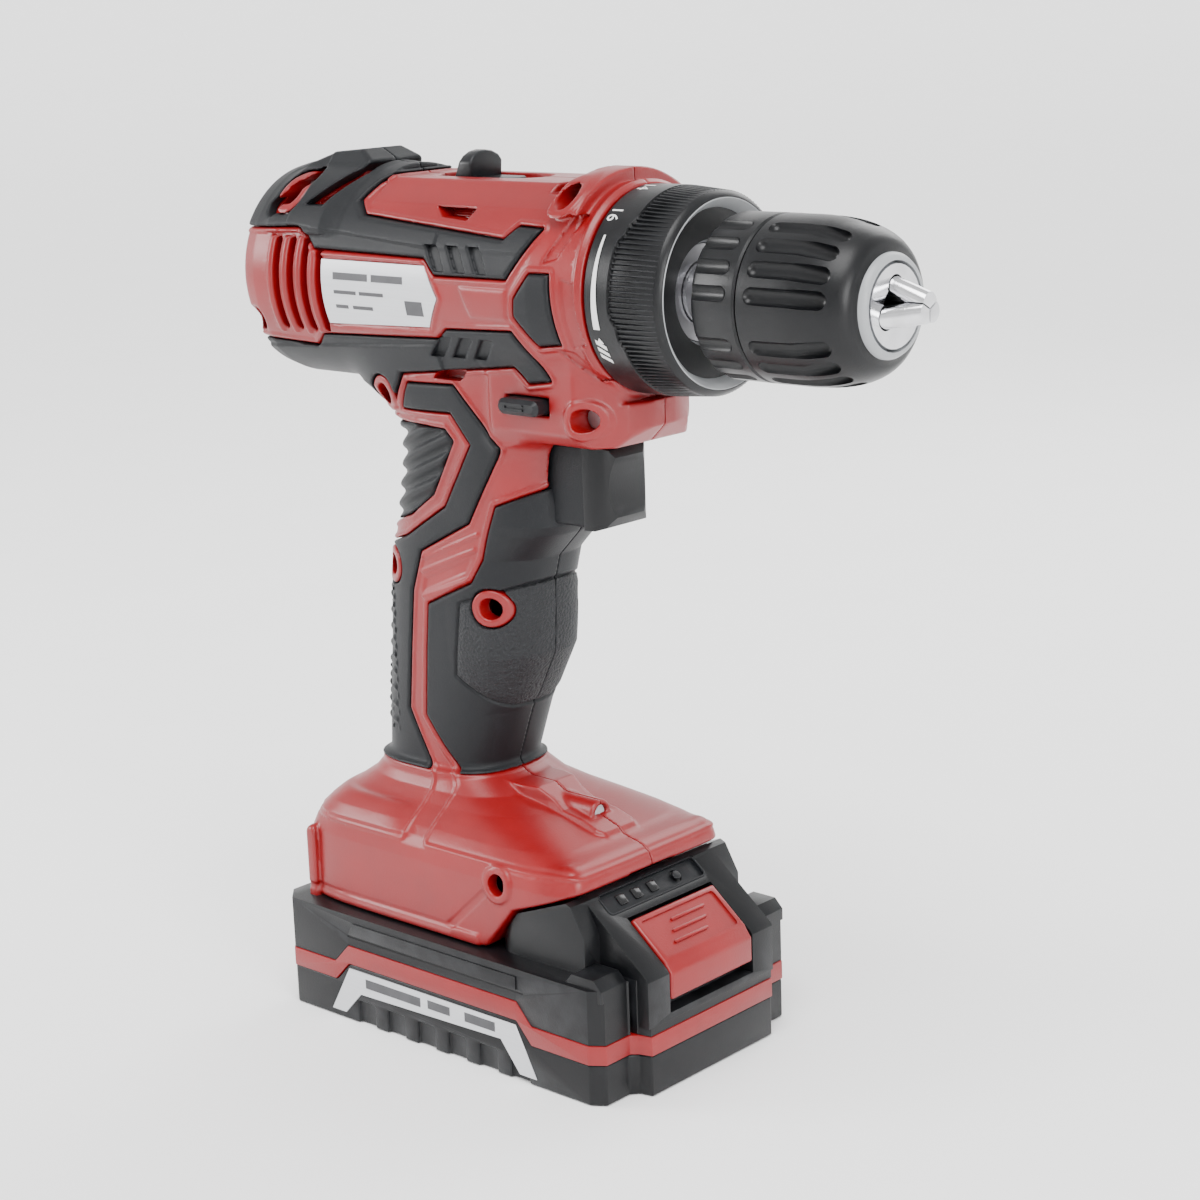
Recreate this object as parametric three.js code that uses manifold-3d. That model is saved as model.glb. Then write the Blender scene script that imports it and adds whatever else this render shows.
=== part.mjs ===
// A cordless drill driver: keyless chuck, torque ring, two-speed gearbox, motor, clamshell housing
// with soft grip pads, and a slide-on battery pack. Millimetres, X forward along the spindle,
// Y to the left, Z up. The origin is on the flat underside of the battery, below its middle.
import * as THREE from "three";
import { mergeVertices } from "three/addons/utils/BufferGeometryUtils.js";
import Module from "manifold-3d";

const wasm = await Module();
wasm.setup();

// ---------- driving dimensions ----------
const GAP = 0.3; // running and assembly clearance between neighbours
const WALL = 3; // housing wall
const FACETS = 32; // sides of a round piece

const AXIS_Z = 218; // spindle axis above the base
const BARREL_R = 30;
const BARREL_REAR = -83;
const BARREL_FRONT = 52.2;
const BARREL_FRONT_R = 27.8;
const RIDGE_TOP = BARREL_R + 0.5; // top ridge above the axis
const RIDGE_HALF = 8;
const RIDGE_REAR = -74;
const RIDGE_FRONT = 47;
const NOSE_FRONT = 56; // block under the torque ring
const NOSE_CHIN = 5; // chamfer under its front
const NOSE_REAR = 14;
const NOSE_HALF = 23;
const NOSE_DROP = 41; // underside below the axis

const GRIP_BASE = 75;
// Grip sections: share of the grip's height, back x, front x, half width.
const GRIP = [
  [0, -48.5, -5.5, 17.5],
  [0.17, -47.3, 1.5, 18],
  [0.33, -45.2, 10, 19],
  [0.5, -43.3, 11.5, 19.5],
  [0.585, -42, 14.5, 19.8],
  [0.655, -40, 22.5, 20],
  [0.68, -39.2, 24.5, 20],
  [0.8, -35.8, 24.5, 20.8],
  [0.885, -34.5, 25.5, 21.6],
  [0.94, -38, 27, 22.2],
  [1, -48, 28, 22.8],
];

const FOOT_REAR = -65.5; // the foot of the grip covers the top of the pack
const FOOT_FRONT = 46;
const FOOT_HALF = 35.5;
const FOOT_SHOULDER = 22; // side wall height
const FOOT_STEP_X = 14; // where the underside starts to climb over the pack's tower

const PAD_RISE = 0.5; // grip pad above the housing skin
const PAD_DEPTH = 1.2; // grip pad below the housing skin

const TRIGGER_FRONT = 45;
const TRIGGER_HALF = 10.6;
const TRIGGER_HEIGHT = 24;
const TRIGGER_TRAVEL = 7;
const LEVER_LENGTH = 50.6;
const LEVER_WIDTH = 15;
const LEVER_HEIGHT = 4.4;
const LEVER_OUT = 4; // how far the lever stands out of the right side

const MOTOR_R = 18.5;
const MOTOR_LENGTH = 58;
const MOTOR_REAR = -76;
const SHAFT_R = 1.6;
const CASE_R = 25.5; // gearbox
const CASE_REAR = -14;
const CASE_STEP = 38;
const CASE_FRONT = 70;
const MODULE = 0.9; // gear tooth module
const SUN_TEETH = 12;
const PLANET_TEETH = 15;
const PLANETS = 3;
const GEAR_WIDTH = 10;
const SHIFT_TRAVEL = 7;
const SPINDLE_R = 8.3;

const RING_FRONT = 77.3; // torque ring
const RING_R = 27.6;
const RING_FRONT_R = 24.2;
const RING_BORE = 21;
const CHUCK_REAR = 82.8;
const CHUCK_SEAM = 97.5;
const CHUCK_NOSE = 131.1;
const CHUCK_R = 21.6;
const CHUCK_NOSE_R = 12.95;
const CHUCK_CORE_R = 15.6;
const JAW_R = 3;
const JAW_LENGTH = 30;
const JAW_TIP = 141.2;
const JAW_ANGLE = THREE.MathUtils.degToRad(18);
const JAW_TRAVEL = 16.2;

const PACK_REAR = -67.1; // battery pack
const PACK_SIDE_FRONT = 58.1;
const PACK_FRONT = 67.1;
const PACK_HALF = 41.2;
const PACK_NOSE_HALF = 27.2;
const PACK_DECK = 33.4;
const PACK_WALL = 2.5;
const BAND_LOW = 11.8;
const BAND_HEIGHT = 5.9;
const BAND_JOG = 6.1;
const TOWER_FRONT = 45;
const TOWER_HALF = 33.5;
const RAIL_HALF = 26;
const NECK_HALF = 20;
const NECK_TOP = 40.5;
const RAIL_TOP = 45;
const RAIL_REAR = -52;
const CELL_R = 9.2;
const CELL_LENGTH = 65;
const CELLS = 5;
const BUTTON_HALF = 17.7;
const BUTTON_TRAVEL = 4;

const SCREW_R = 1.5;
const SCREW_HEAD_R = 2.8;
const SCREW_LENGTH = 16;
const BOSS_R = 4;

// ---------- solids ----------
function solid(geometry) {
  const bare = new THREE.BufferGeometry();
  bare.setAttribute("position", geometry.getAttribute("position"));
  bare.setIndex(geometry.index);
  const merged = mergeVertices(bare, 1e-4);
  const triVerts = new Uint32Array(merged.index.array);
  const vertProperties = merged.attributes.position.array;
  const made = new wasm.Manifold(new wasm.Mesh({ numProp: 3, vertProperties, triVerts }));
  if (made.volume() > 0) return made;
  for (let i = 0; i < triVerts.length; i += 3) {
    [triVerts[i + 1], triVerts[i + 2]] = [triVerts[i + 2], triVerts[i + 1]];
  }
  return new wasm.Manifold(new wasm.Mesh({ numProp: 3, vertProperties, triVerts }));
}

const union = (...solids) => solids.flat().reduce((a, b) => a.add(b));
const cut = (body, ...tools) => body.subtract(union(...tools));

function extrude(points, depth, frame) {
  const shape = new THREE.Shape(points.map(([a, b]) => new THREE.Vector2(a, b)));
  const geometry = new THREE.ExtrudeGeometry(shape, { depth, bevelEnabled: false });
  return solid(geometry.applyMatrix4(frame));
}

const axisX = new THREE.Vector3(1, 0, 0);
const axisY = new THREE.Vector3(0, 1, 0);
const axisZ = new THREE.Vector3(0, 0, 1);

// An outline in (y, z) run from x0 to x1.
function prismX(points, x0, x1) {
  return extrude(points, x1 - x0, new THREE.Matrix4().makeBasis(axisY, axisZ, axisX).setPosition(x0, 0, 0));
}

// An outline in (x, z) run from y0 to y1.
function prismY(points, y0, y1) {
  const back = axisY.clone().negate();
  return extrude(points, y1 - y0, new THREE.Matrix4().makeBasis(axisX, axisZ, back).setPosition(0, y1, 0));
}

// An outline in (x, y) run from z0 to z1.
function prismZ(points, z0, z1) {
  return extrude(points, z1 - z0, new THREE.Matrix4().setPosition(0, 0, z0));
}

const box = (x0, x1, y0, y1, z0, z1) => prismZ([[x0, y0], [x1, y0], [x1, y1], [x0, y1]], z0, z1);

// A profile of (x, radius) turned about the line z = height.
function turned(profile, height = 0, facets = FACETS) {
  const points = profile.map(([x, r]) => new THREE.Vector2(r, x));
  const geometry = new THREE.LatheGeometry(points, facets);
  geometry.rotateZ(-Math.PI / 2).translate(0, 0, height);
  return solid(geometry);
}

// A tube wall from x0 to x1 between two radii.
function sleeve(x0, x1, outer, inner, height = 0) {
  return turned([[x0, inner], [x1, inner], [x1, outer], [x0, outer], [x0, inner]], height);
}

function rod(x0, x1, r, height = 0, facets = FACETS) {
  return turned([[x0, 0], [x0, r], [x1, r], [x1, 0]], height, facets);
}

// A round bar between two points.
function bar(from, to, r, facets = 16) {
  const a = new THREE.Vector3(...from);
  const b = new THREE.Vector3(...to);
  const geometry = new THREE.CylinderGeometry(r, r, a.distanceTo(b), facets);
  geometry.applyQuaternion(new THREE.Quaternion().setFromUnitVectors(axisY, b.clone().sub(a).normalize()));
  return solid(geometry.translate((a.x + b.x) / 2, (a.y + b.y) / 2, (a.z + b.z) / 2));
}

// A skin through rings of points, closed by a fan at each end.
function loft(rings) {
  const count = rings[0].length;
  const points = rings.flat();
  const index = [];
  for (let k = 0; k + 1 < rings.length; k++) {
    for (let i = 0; i < count; i++) {
      const a = k * count + i;
      const b = k * count + ((i + 1) % count);
      index.push(a, b, b + count, a, b + count, a + count);
    }
  }
  for (const ring of [rings[0], rings.at(-1)]) {
    const centre = new THREE.Vector3();
    ring.forEach((p) => centre.addScaledVector(p, 1 / count));
    const first = ring === rings[0] ? 0 : (rings.length - 1) * count;
    points.push(centre);
    for (let i = 0; i < count; i++) {
      const a = first + i;
      const b = first + ((i + 1) % count);
      index.push(points.length - 1, ...(first ? [a, b] : [b, a]));
    }
  }
  const geometry = new THREE.BufferGeometry().setFromPoints(points);
  geometry.setIndex(index);
  return solid(geometry);
}

// A level superellipse ring: the higher the power, the squarer its corners.
function ring(x0, x1, half, z, power, count = 20) {
  const points = [];
  for (let i = 0; i < count; i++) {
    const a = (2 * Math.PI * i) / count;
    const x = Math.sign(Math.cos(a)) * Math.abs(Math.cos(a)) ** (2 / power);
    const y = Math.sign(Math.sin(a)) * Math.abs(Math.sin(a)) ** (2 / power);
    points.push(new THREE.Vector3((x0 + x1) / 2 + (x * (x1 - x0)) / 2, y * half, z));
  }
  return points;
}

// ---------- frame of the model ----------
const root = new THREE.Group();
const head = new THREE.Group(); // the spindle line
head.position.z = AXIS_Z;
root.add(head);

const finish = (color, roughness, metalness) =>
  new THREE.MeshStandardMaterial({ color, roughness, metalness });
const RED = finish(0xc01f26, 0.35, 0);
const PAD = finish(0x2c2e32, 0.75, 0);
const BLACK = finish(0x16171a, 0.45, 0);
const SILVER = finish(0xbfc2c6, 0.35, 0.6);
const STEEL = finish(0x9a9ca0, 0.3, 1);
const CHROME = finish(0xd8dade, 0.12, 1);
const BRASS = finish(0xb08d57, 0.35, 1);
const CLEAR = finish(0xe8eef2, 0.1, 0);
const CELL_WRAP = finish(0x2f7fb5, 0.5, 0);
const COPPER_RED = finish(0xa81d1d, 0.5, 0);

function add(name, body, material, group = root) {
  const made = body.getMesh();
  const geometry = new THREE.BufferGeometry();
  geometry.setAttribute("position", new THREE.BufferAttribute(made.vertProperties, 3));
  geometry.setIndex(new THREE.BufferAttribute(made.triVerts, 1));
  geometry.computeVertexNormals();
  const mesh = new THREE.Mesh(geometry, material);
  mesh.name = name;
  group.add(mesh);
}

// ---------- outer forms of the housing, each grown outwards by g ----------
const FOOT_BOTTOM = PACK_DECK + 2 * GAP;
const GRIP_TOP = AXIS_Z - BARREL_R;
const gripHeight = (share) => GRIP_BASE + share * (GRIP_TOP - GRIP_BASE);

// The grip's [back, front, half width] at a share of its height.
function gripAt(share) {
  const next = GRIP.findIndex((row) => row[0] >= share);
  const [a, b] = [GRIP[Math.max(next - 1, 0)], GRIP[Math.max(next, 1)]];
  const t = (share - a[0]) / (b[0] - a[0]);
  return [1, 2, 3].map((k) => THREE.MathUtils.lerp(a[k], b[k], t));
}

// A place on the grip seen from the side: share from back to front, share of its height.
function onGrip(across, share) {
  const [back, front] = gripAt(share);
  return [THREE.MathUtils.lerp(back, front, across), gripHeight(share)];
}

function barrelForm(g) {
  const profile = [
    [BARREL_REAR - g, 0],
    [BARREL_REAR - g, 19 + g],
    [BARREL_REAR + 2.5 - g, 25 + g],
    [BARREL_REAR + 9, BARREL_R + g],
    [BARREL_FRONT - 17, BARREL_R + g],
    [BARREL_FRONT, BARREL_FRONT_R + g],
    [BARREL_FRONT, 0],
  ];
  return turned(profile, AXIS_Z);
}

function ridgeForm(g) {
  const top = AXIS_Z + RIDGE_TOP + g;
  const half = RIDGE_HALF + g / 2;
  const side = [[half, top], [half + 9, top - 5.5], [half + 16, top - 13], [half + 16, AXIS_Z]];
  const outline = [...side, ...side.map(([y, z]) => [-y, z]).reverse()];
  const hump = [
    [RIDGE_REAR - g, AXIS_Z],
    [RIDGE_REAR - g, top - 8],
    [RIDGE_REAR + 8, top + 2],
    [RIDGE_REAR + 36, top + 2],
    [RIDGE_REAR + 42, top],
    [RIDGE_FRONT, top],
    [BARREL_FRONT, top - 6],
    [BARREL_FRONT, AXIS_Z],
  ];
  const section = prismX(outline.map(([y, z]) => [y, z > AXIS_Z ? z + 2 : z]), RIDGE_REAR - g, BARREL_FRONT);
  return section.intersect(prismY(hump, -RIDGE_HALF - 20, RIDGE_HALF + 20));
}

function noseForm(g) {
  const low = AXIS_Z - NOSE_DROP - g;
  const side = [
    [NOSE_REAR, AXIS_Z - 15],
    [NOSE_REAR, low],
    [NOSE_FRONT - NOSE_CHIN, low],
    [NOSE_FRONT + g, low + NOSE_CHIN],
    [NOSE_FRONT + g, AXIS_Z - RING_R - GAP - 0.5],
    [BARREL_FRONT, AXIS_Z - RING_R - GAP - 0.5],
    [BARREL_FRONT, AXIS_Z - 15],
  ];
  const half = NOSE_HALF + g;
  const end = [
    [-half, AXIS_Z],
    [-half, low + 4],
    [4 - half, low],
    [half - 4, low],
    [half, low + 4],
    [half, AXIS_Z],
  ];
  return prismY(side, -half, half).intersect(prismX(end, NOSE_REAR - 1, NOSE_FRONT + 1));
}

function gripForm(g) {
  const sections = GRIP.map(([share]) => {
    const [back, front, half] = gripAt(share);
    return ring(back - g, front + g, half + g, gripHeight(share), 2.7);
  });
  const [back, front, half] = gripAt(1);
  sections.push(ring(back - g, front + g, half + g, AXIS_Z - 14, 2.7));
  sections.unshift(ring(GRIP[0][1] - g, GRIP[0][2] + g, GRIP[0][3] + g, GRIP_BASE - 14, 2.7));
  return loft(sections);
}

// Underside of the foot, and top of the pack's tower, seen from the side; drop lowers it.
const stepLine = (drop) => [
  [FOOT_STEP_X + 0.9 * drop, FOOT_BOTTOM - drop],
  [FOOT_STEP_X + 10.5 + 0.7 * drop, FOOT_BOTTOM + 13 - drop],
  [FOOT_FRONT + 2, FOOT_BOTTOM + 21.5 - drop],
];

// Height of the last stretch of that line at x.
function stepHeight(x, drop) {
  const [, from, to] = stepLine(drop);
  return from[1] + ((x - from[0]) * (to[1] - from[1])) / (to[0] - from[0]);
}

function footForm(g) {
  const wall = FOOT_BOTTOM + FOOT_SHOULDER;
  const blend = GRIP_BASE - wall;
  const body = loft([
    ring(FOOT_REAR - g, FOOT_FRONT + g, FOOT_HALF + g, FOOT_BOTTOM, 6),
    ring(FOOT_REAR + 1 - g, FOOT_FRONT - 0.5 + g, FOOT_HALF - 1 + g, wall, 6),
    ring(FOOT_REAR + 4 - g, FOOT_FRONT - 3 + g, FOOT_HALF - 4 + g, wall + 0.22 * blend + g, 5),
    ring(FOOT_REAR + 11 - g, FOOT_FRONT - 18 + g, FOOT_HALF - 12 + g, wall + 0.6 * blend + g, 4),
    ring(GRIP[0][1] - 1.5 - g, GRIP[0][2] + 4 + g, GRIP[0][3] + 1.5 + g, GRIP_BASE - 1 + g, 3),
  ]);
  const under = [...stepLine(0), [FOOT_FRONT + 9, FOOT_BOTTOM + 21.5], [FOOT_FRONT + 9, FOOT_BOTTOM - 9]];
  under.push([FOOT_STEP_X, FOOT_BOTTOM - 9]);
  return cut(body, prismY(under, -FOOT_HALF - 9, FOOT_HALF + 9));
}

const LAMP = { x: GRIP[0][2] + 32, z: GRIP_BASE - 8, r: 4.2, bore: 2.5, rise: 0.12 };

// Raised deck in front of the grip that carries the lamp.
function deckForm(g) {
  const top = GRIP_BASE - 5 + g;
  const side = [
    [GRIP[0][2] - 6, top - 14],
    [GRIP[0][2] - 6, top + 1],
    [LAMP.x - 10, top],
    [LAMP.x - 2, top - 6],
    [LAMP.x + 8 + g, top - 9],
    [LAMP.x + 8 + g, top - 14],
  ];
  return prismY(side, -9 - g, 9 + g);
}

const housingForm = (g) =>
  union(barrelForm(g), ridgeForm(g), noseForm(g), gripForm(g), footForm(g), deckForm(g));

const outer = housingForm(0);
const inner = union(barrelForm(-WALL), noseForm(-WALL), gripForm(-WALL), footForm(-WALL));
const padOuter = housingForm(PAD_RISE);
const padInner = housingForm(-PAD_DEPTH);

// ---------- pad outlines, seen from the side ----------
const fromAxis = (points) => points.map(([x, dz]) => [x, AXIS_Z + dz]);
const PADS = {
  top: fromAxis([
    [BARREL_REAR + 6, 14], [-55, 15], [-48.3, 9.1], [-4, 8.4], [0.5, 4.1], [27.1, 4.3],
    [36.4, 17.3], [28.1, 17.6], [24.1, 14.1], [-31.7, 18.3], [-38, 24], [-36, 40], [BARREL_REAR + 6, 40],
  ]),
  under: fromAxis([
    [BARREL_REAR + 4, -18.8], [-54.9, -19.6], [-49.7, -15.7], [-1.9, -13.7], [2.5, -10.8], [27.2, -9.8],
    [35.6, -23], [27.8, -24.2], [22.8, -19.9], [-26.6, -24.8], [-32, -31], [BARREL_REAR + 4, -31],
  ]),
  hex: fromAxis([[35.4, 6.1], [41.6, 6.1], [43.2, -12.2], [36.1, -13.1], [29.5, -5.3], [30.2, -0.6]]),
  thumb: [
    onGrip(-0.2, 0.62), onGrip(0.34, 0.59), onGrip(0.62, 0.68), onGrip(0.8, 0.88),
    onGrip(0.58, 0.98), onGrip(0.34, 0.98), onGrip(-0.2, 0.97),
  ],
  heel: [onGrip(-0.2, 0.06), onGrip(0.3, 0.06), onGrip(0.24, 0.2), onGrip(0.3, 0.46), onGrip(-0.2, 0.52)],
  palm: [
    onGrip(0.62, 0.06), onGrip(0.42, 0.2), onGrip(0.42, 0.46), onGrip(0.62, 0.63),
    onGrip(0.78, 0.68), onGrip(1.1, 0.645), onGrip(1.2, 0.5), onGrip(1.2, 0.1),
  ],
};

// The pad outline grown evenly about its middle, for the pocket that holds the pad.
function padPrism(points, grow) {
  const outline = points.map(([x, z]) => new THREE.Vector2(x, z));
  if (THREE.ShapeUtils.isClockWise(outline)) outline.reverse();
  const moved = outline.map((p, i) => {
    const before = outline.at(i - 1);
    const after = outline[(i + 1) % outline.length];
    const a = p.clone().sub(before).normalize();
    const b = after.clone().sub(p).normalize();
    const bisector = new THREE.Vector2(a.y + b.y, -a.x - b.x);
    return p.clone().addScaledVector(bisector, grow / (1 + a.dot(b)));
  });
  return prismY(moved.map((p) => [p.x, p.y]), -60, 60);
}

// ---------- housing ----------
const SCREWS = [
  { name: "screw_rear_top", x: -64, z: AXIS_Z + 23.5, depth: 17 },
  { name: "screw_front_top", x: CASE_STEP + 3.4, z: AXIS_Z + 25.5, depth: 14 },
  { name: "screw_rear_low", x: -71, z: AXIS_Z - 24.2, depth: 15 },
  { name: "screw_throat", x: -31.3, z: AXIS_Z - 32, depth: 14 },
  { name: "screw_nose", x: 45.3, z: AXIS_Z - 33, depth: 20 },
  { name: "screw_grip_back", x: onGrip(0.12, 0.53)[0], z: gripHeight(0.53), depth: 12 },
  { name: "screw_grip_mid", x: onGrip(0.86, 0.46)[0], z: gripHeight(0.46), depth: 14 },
  { name: "screw_foot", x: FOOT_STEP_X + 5, z: FOOT_BOTTOM + 19.5, depth: 31 },
];

const across = (x, z, y0, y1, r, facets) => bar([x, y0, z], [x, y1, z], r, facets);

// The screw: its head sits against the floor of a well in the right half.
function makeScrew({ x, z, depth }) {
  const seat = -depth + 6;
  return union(
    across(x, z, seat - 2.2, seat, SCREW_HEAD_R, 12),
    across(x, z, seat - 0.1, seat + SCREW_LENGTH - 6, SCREW_R, 8),
  );
}

const screwBosses = SCREWS.map(({ x, z, depth }) => across(x, z, -depth - 20, depth + 20, BOSS_R, 10));
const screwWells = SCREWS.map(({ x, z, depth }) => across(x, z, -60, -depth + 6 + GAP, SCREW_HEAD_R + GAP, 12));
const screwBores = SCREWS.map(({ x, z, depth }) =>
  across(x, z, -depth, -depth + 6 + SCREW_LENGTH - 6 + GAP, SCREW_R + GAP, 8),
);

const TRIGGER_TOP = AXIS_Z - NOSE_DROP - 0.8;
const TRIGGER_LOW = TRIGGER_TOP - TRIGGER_HEIGHT;
const LEVER = { x: 26.5, z: AXIS_Z - 30.2, right: -NOSE_HALF - LEVER_OUT - 0.3 };
const SELECTOR = { rear: -20, length: 23, half: 6.5, base: AXIS_Z + RIDGE_TOP - 2 };
const FORK = { x: 2.4, width: 2.4, half: 3 };
const CATCH = { x: 34, half: 8 };

function motorRibs() {
  const inside = MOTOR_R + GAP;
  const places = [MOTOR_REAR + 8, MOTOR_REAR + MOTOR_LENGTH - 8];
  const caseRib = sleeve(CASE_STEP - 4, CASE_STEP - 1, BARREL_R - 1, CASE_R + GAP, AXIS_Z);
  return [...places.map((x) => sleeve(x, x + 2.5, BARREL_R - 1, inside, AXIS_Z)), caseRib];
}

// Ledges inside the foot that the pack's rails hang on.
function footLedges() {
  const low = PACK_DECK + 3.5;
  const top = NECK_TOP - GAP;
  const inside = NECK_HALF + 0.5;
  return [-1, 1].map((s) => {
    const ys = [s * inside, s * (FOOT_HALF - 1.5)].sort((a, b) => a - b);
    return box(FOOT_REAR + 2, FOOT_STEP_X - 0.5, ys[0], ys[1], low, top);
  });
}

// A round bar on the lamp's line, which aims up at the chuck.
function lampTube(r, x0, x1, facets) {
  const at = (x) => [x, 0, LAMP.z + (x - LAMP.x) * LAMP.rise];
  return bar(at(x0), at(x1), r, facets);
}

function housingBody() {
  const shell = cut(outer, inner);
  const fittings = union(motorRibs(), footLedges(), screwBosses).intersect(outer);
  const motorRoom = [
    rod(MOTOR_REAR - GAP, MOTOR_REAR + MOTOR_LENGTH + GAP, MOTOR_R + GAP, AXIS_Z),
    rod(CASE_REAR - GAP, CASE_STEP + GAP, CASE_R + GAP, AXIS_Z),
    rod(CASE_STEP, BARREL_FRONT + 1, RING_BORE + GAP, AXIS_Z),
    rod(MOTOR_REAR - 3, CASE_REAR, 6, AXIS_Z),
  ];
  const selectorSlot = [
    box(SELECTOR.rear - SHIFT_TRAVEL - 1, SELECTOR.rear + SELECTOR.length + 6, -SELECTOR.half - 0.5,
      SELECTOR.half + 0.5, SELECTOR.base - GAP, AXIS_Z + RIDGE_TOP + 9),
    box(FORK.x - SHIFT_TRAVEL - 1, FORK.x + FORK.width + 1, -FORK.half - GAP, FORK.half + GAP,
      AXIS_Z + 20, AXIS_Z + RIDGE_TOP + 9),
  ];
  const triggerMouth = box(-18, 40, -TRIGGER_HALF - GAP, TRIGGER_HALF + GAP, TRIGGER_LOW - GAP, TRIGGER_TOP + GAP);
  const leverSlot = box(LEVER.x - LEVER_WIDTH / 2 - GAP, LEVER.x + LEVER_WIDTH / 2 + GAP, -60, 60,
    LEVER.z - LEVER_HEIGHT / 2 - GAP, LEVER.z + LEVER_HEIGHT / 2 + GAP);
  const railRoom = [
    box(RAIL_REAR - 6, FOOT_STEP_X + 12, -RAIL_HALF - 0.6, RAIL_HALF + 0.6, NECK_TOP - GAP, RAIL_TOP + 6),
    box(FOOT_REAR + 3.2, FOOT_STEP_X + 12, -NECK_HALF - 0.5, NECK_HALF + 0.5, FOOT_BOTTOM - 5, RAIL_TOP),
    box(CATCH.x - 6, FOOT_FRONT + 9, -CATCH.half - 1, CATCH.half + 1, FOOT_BOTTOM, FOOT_BOTTOM + 27),
  ];
  const padPockets = Object.values(PADS).map((outline) => padPrism(outline, GAP).subtract(padInner));
  const plateWell = plateBlock(GAP, BARREL_R - 0.8).subtract(rod(-99, 99, BARREL_R - 0.8, AXIS_Z));
  const body = cut(union(shell, fittings), motorRoom, selectorSlot, triggerMouth, leverSlot, railRoom,
    padPockets, plateWell, screwWells, screwBores, lampTube(LAMP.bore, LAMP.x - 12, LAMP.x + 9, 12));
  return union(body, cut(lampTube(LAMP.r, LAMP.x - 8, LAMP.x + 1, 16), lampTube(LAMP.bore, LAMP.x - 12, LAMP.x + 9, 12)));
}

// Plan of a rating plate and of its shallow recess, both sides.
function plateBlock(grow) {
  const outline = fromAxis([[-45, 6.3], [-3.6, 6.3], [1, -2.3], [-4, -10.5], [-45, -12]]);
  return padPrism(outline, grow);
}

const half = (body, side) => body.intersect(
  side < 0 ? box(-200, 200, -90, -GAP / 2, -10, 300) : box(-200, 200, GAP / 2, 90, -10, 300));

const largest = (body) => body.decompose().reduce((a, b) => (a.volume() > b.volume() ? a : b));

function addHousing() {
  const body = housingBody();
  add("housing_right", largest(half(body, -1)), RED);
  add("housing_left", largest(half(body, 1)), RED);
  const skin = cut(padOuter, padInner);
  const bosses = SCREWS.map(({ x, z }) => across(x, z, -60, 60, BOSS_R + GAP, 14));
  for (const [name, outline] of Object.entries(PADS)) {
    const pad = cut(skin.intersect(padPrism(outline, 0)), ...bosses);
    add(`pad_${name}_right`, largest(half(pad, -1)), PAD);
    add(`pad_${name}_left`, largest(half(pad, 1)), PAD);
  }
  const plateSkin = sleeve(-99, 99, BARREL_R + 0.1, BARREL_R - 0.5, AXIS_Z).intersect(plateBlock(0));
  add("rating_plate_right", largest(half(plateSkin, -1)), SILVER);
  add("rating_plate_left", largest(half(plateSkin, 1)), SILVER);
  SCREWS.forEach((screw) => add(screw.name, makeScrew(screw), STEEL));
  add("work_light", lampTube(LAMP.bore - GAP, LAMP.x - 7, LAMP.x, 12), CLEAR);
}

// ---------- motor and gearbox, about the spindle line ----------
const RING_TEETH = SUN_TEETH + 2 * PLANET_TEETH;
const PLANET_ORBIT = (MODULE * (SUN_TEETH + PLANET_TEETH)) / 2;
const GEAR_REAR = -3;
const RING_GEAR_R = (MODULE * RING_TEETH) / 2 + 4.1;
const MOTOR_FRONT = MOTOR_REAR + MOTOR_LENGTH;

// Outline of a gear about the X axis; turn is the angle of the middle of a tooth.
function gearOutline(teeth, turn, inward) {
  const pitch = (MODULE * teeth) / 2;
  const tip = pitch + (inward ? -0.75 : 0.75) * MODULE;
  const root = pitch + (inward ? 1.1 : -1.1) * MODULE;
  const step = (2 * Math.PI) / teeth;
  const corners = [[-0.31, root], [-0.13, tip], [0.13, tip], [0.31, root]];
  const points = [];
  for (let i = 0; i < teeth; i++) {
    for (const [share, r] of corners) {
      const a = turn + (i + share) * step;
      points.push([r * Math.cos(a), r * Math.sin(a)]);
    }
  }
  return points;
}

const gear = (teeth, turn, x0, x1) => prismX(gearOutline(teeth, turn, false), x0, x1);
const planetAngle = (i) => Math.PI / 2 + (2 * Math.PI * i) / PLANETS;

function addMotor() {
  const can = turned([
    [MOTOR_REAR, 3], [MOTOR_REAR, 7], [MOTOR_REAR + 3, 7], [MOTOR_REAR + 3, MOTOR_R], [MOTOR_FRONT - 3, MOTOR_R],
    [MOTOR_FRONT - 3, 8.5], [MOTOR_FRONT, 8.5], [MOTOR_FRONT, 3], [MOTOR_FRONT - 5, 3],
    [MOTOR_FRONT - 5, MOTOR_R - 1.5], [MOTOR_REAR + 5, MOTOR_R - 1.5], [MOTOR_REAR + 5, 3], [MOTOR_REAR, 3],
  ]);
  add("motor_can", can, STEEL, head);
  const rotor = union(
    turned([
      [MOTOR_REAR - 1, 0], [MOTOR_REAR - 1, SHAFT_R], [MOTOR_REAR + 7, SHAFT_R], [MOTOR_REAR + 7, 5.5],
      [MOTOR_REAR + 14, 5.5], [MOTOR_REAR + 16, MOTOR_R - 5], [MOTOR_FRONT - 16, MOTOR_R - 5],
      [MOTOR_FRONT - 12, SHAFT_R], [GEAR_REAR + GEAR_WIDTH - 1, SHAFT_R], [GEAR_REAR + GEAR_WIDTH - 1, 0],
    ]),
    gear(SUN_TEETH, Math.PI / 2, GEAR_REAR - 1, GEAR_REAR + GEAR_WIDTH - 1),
  );
  add("motor_rotor", rotor, BRASS, head);
}

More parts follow.
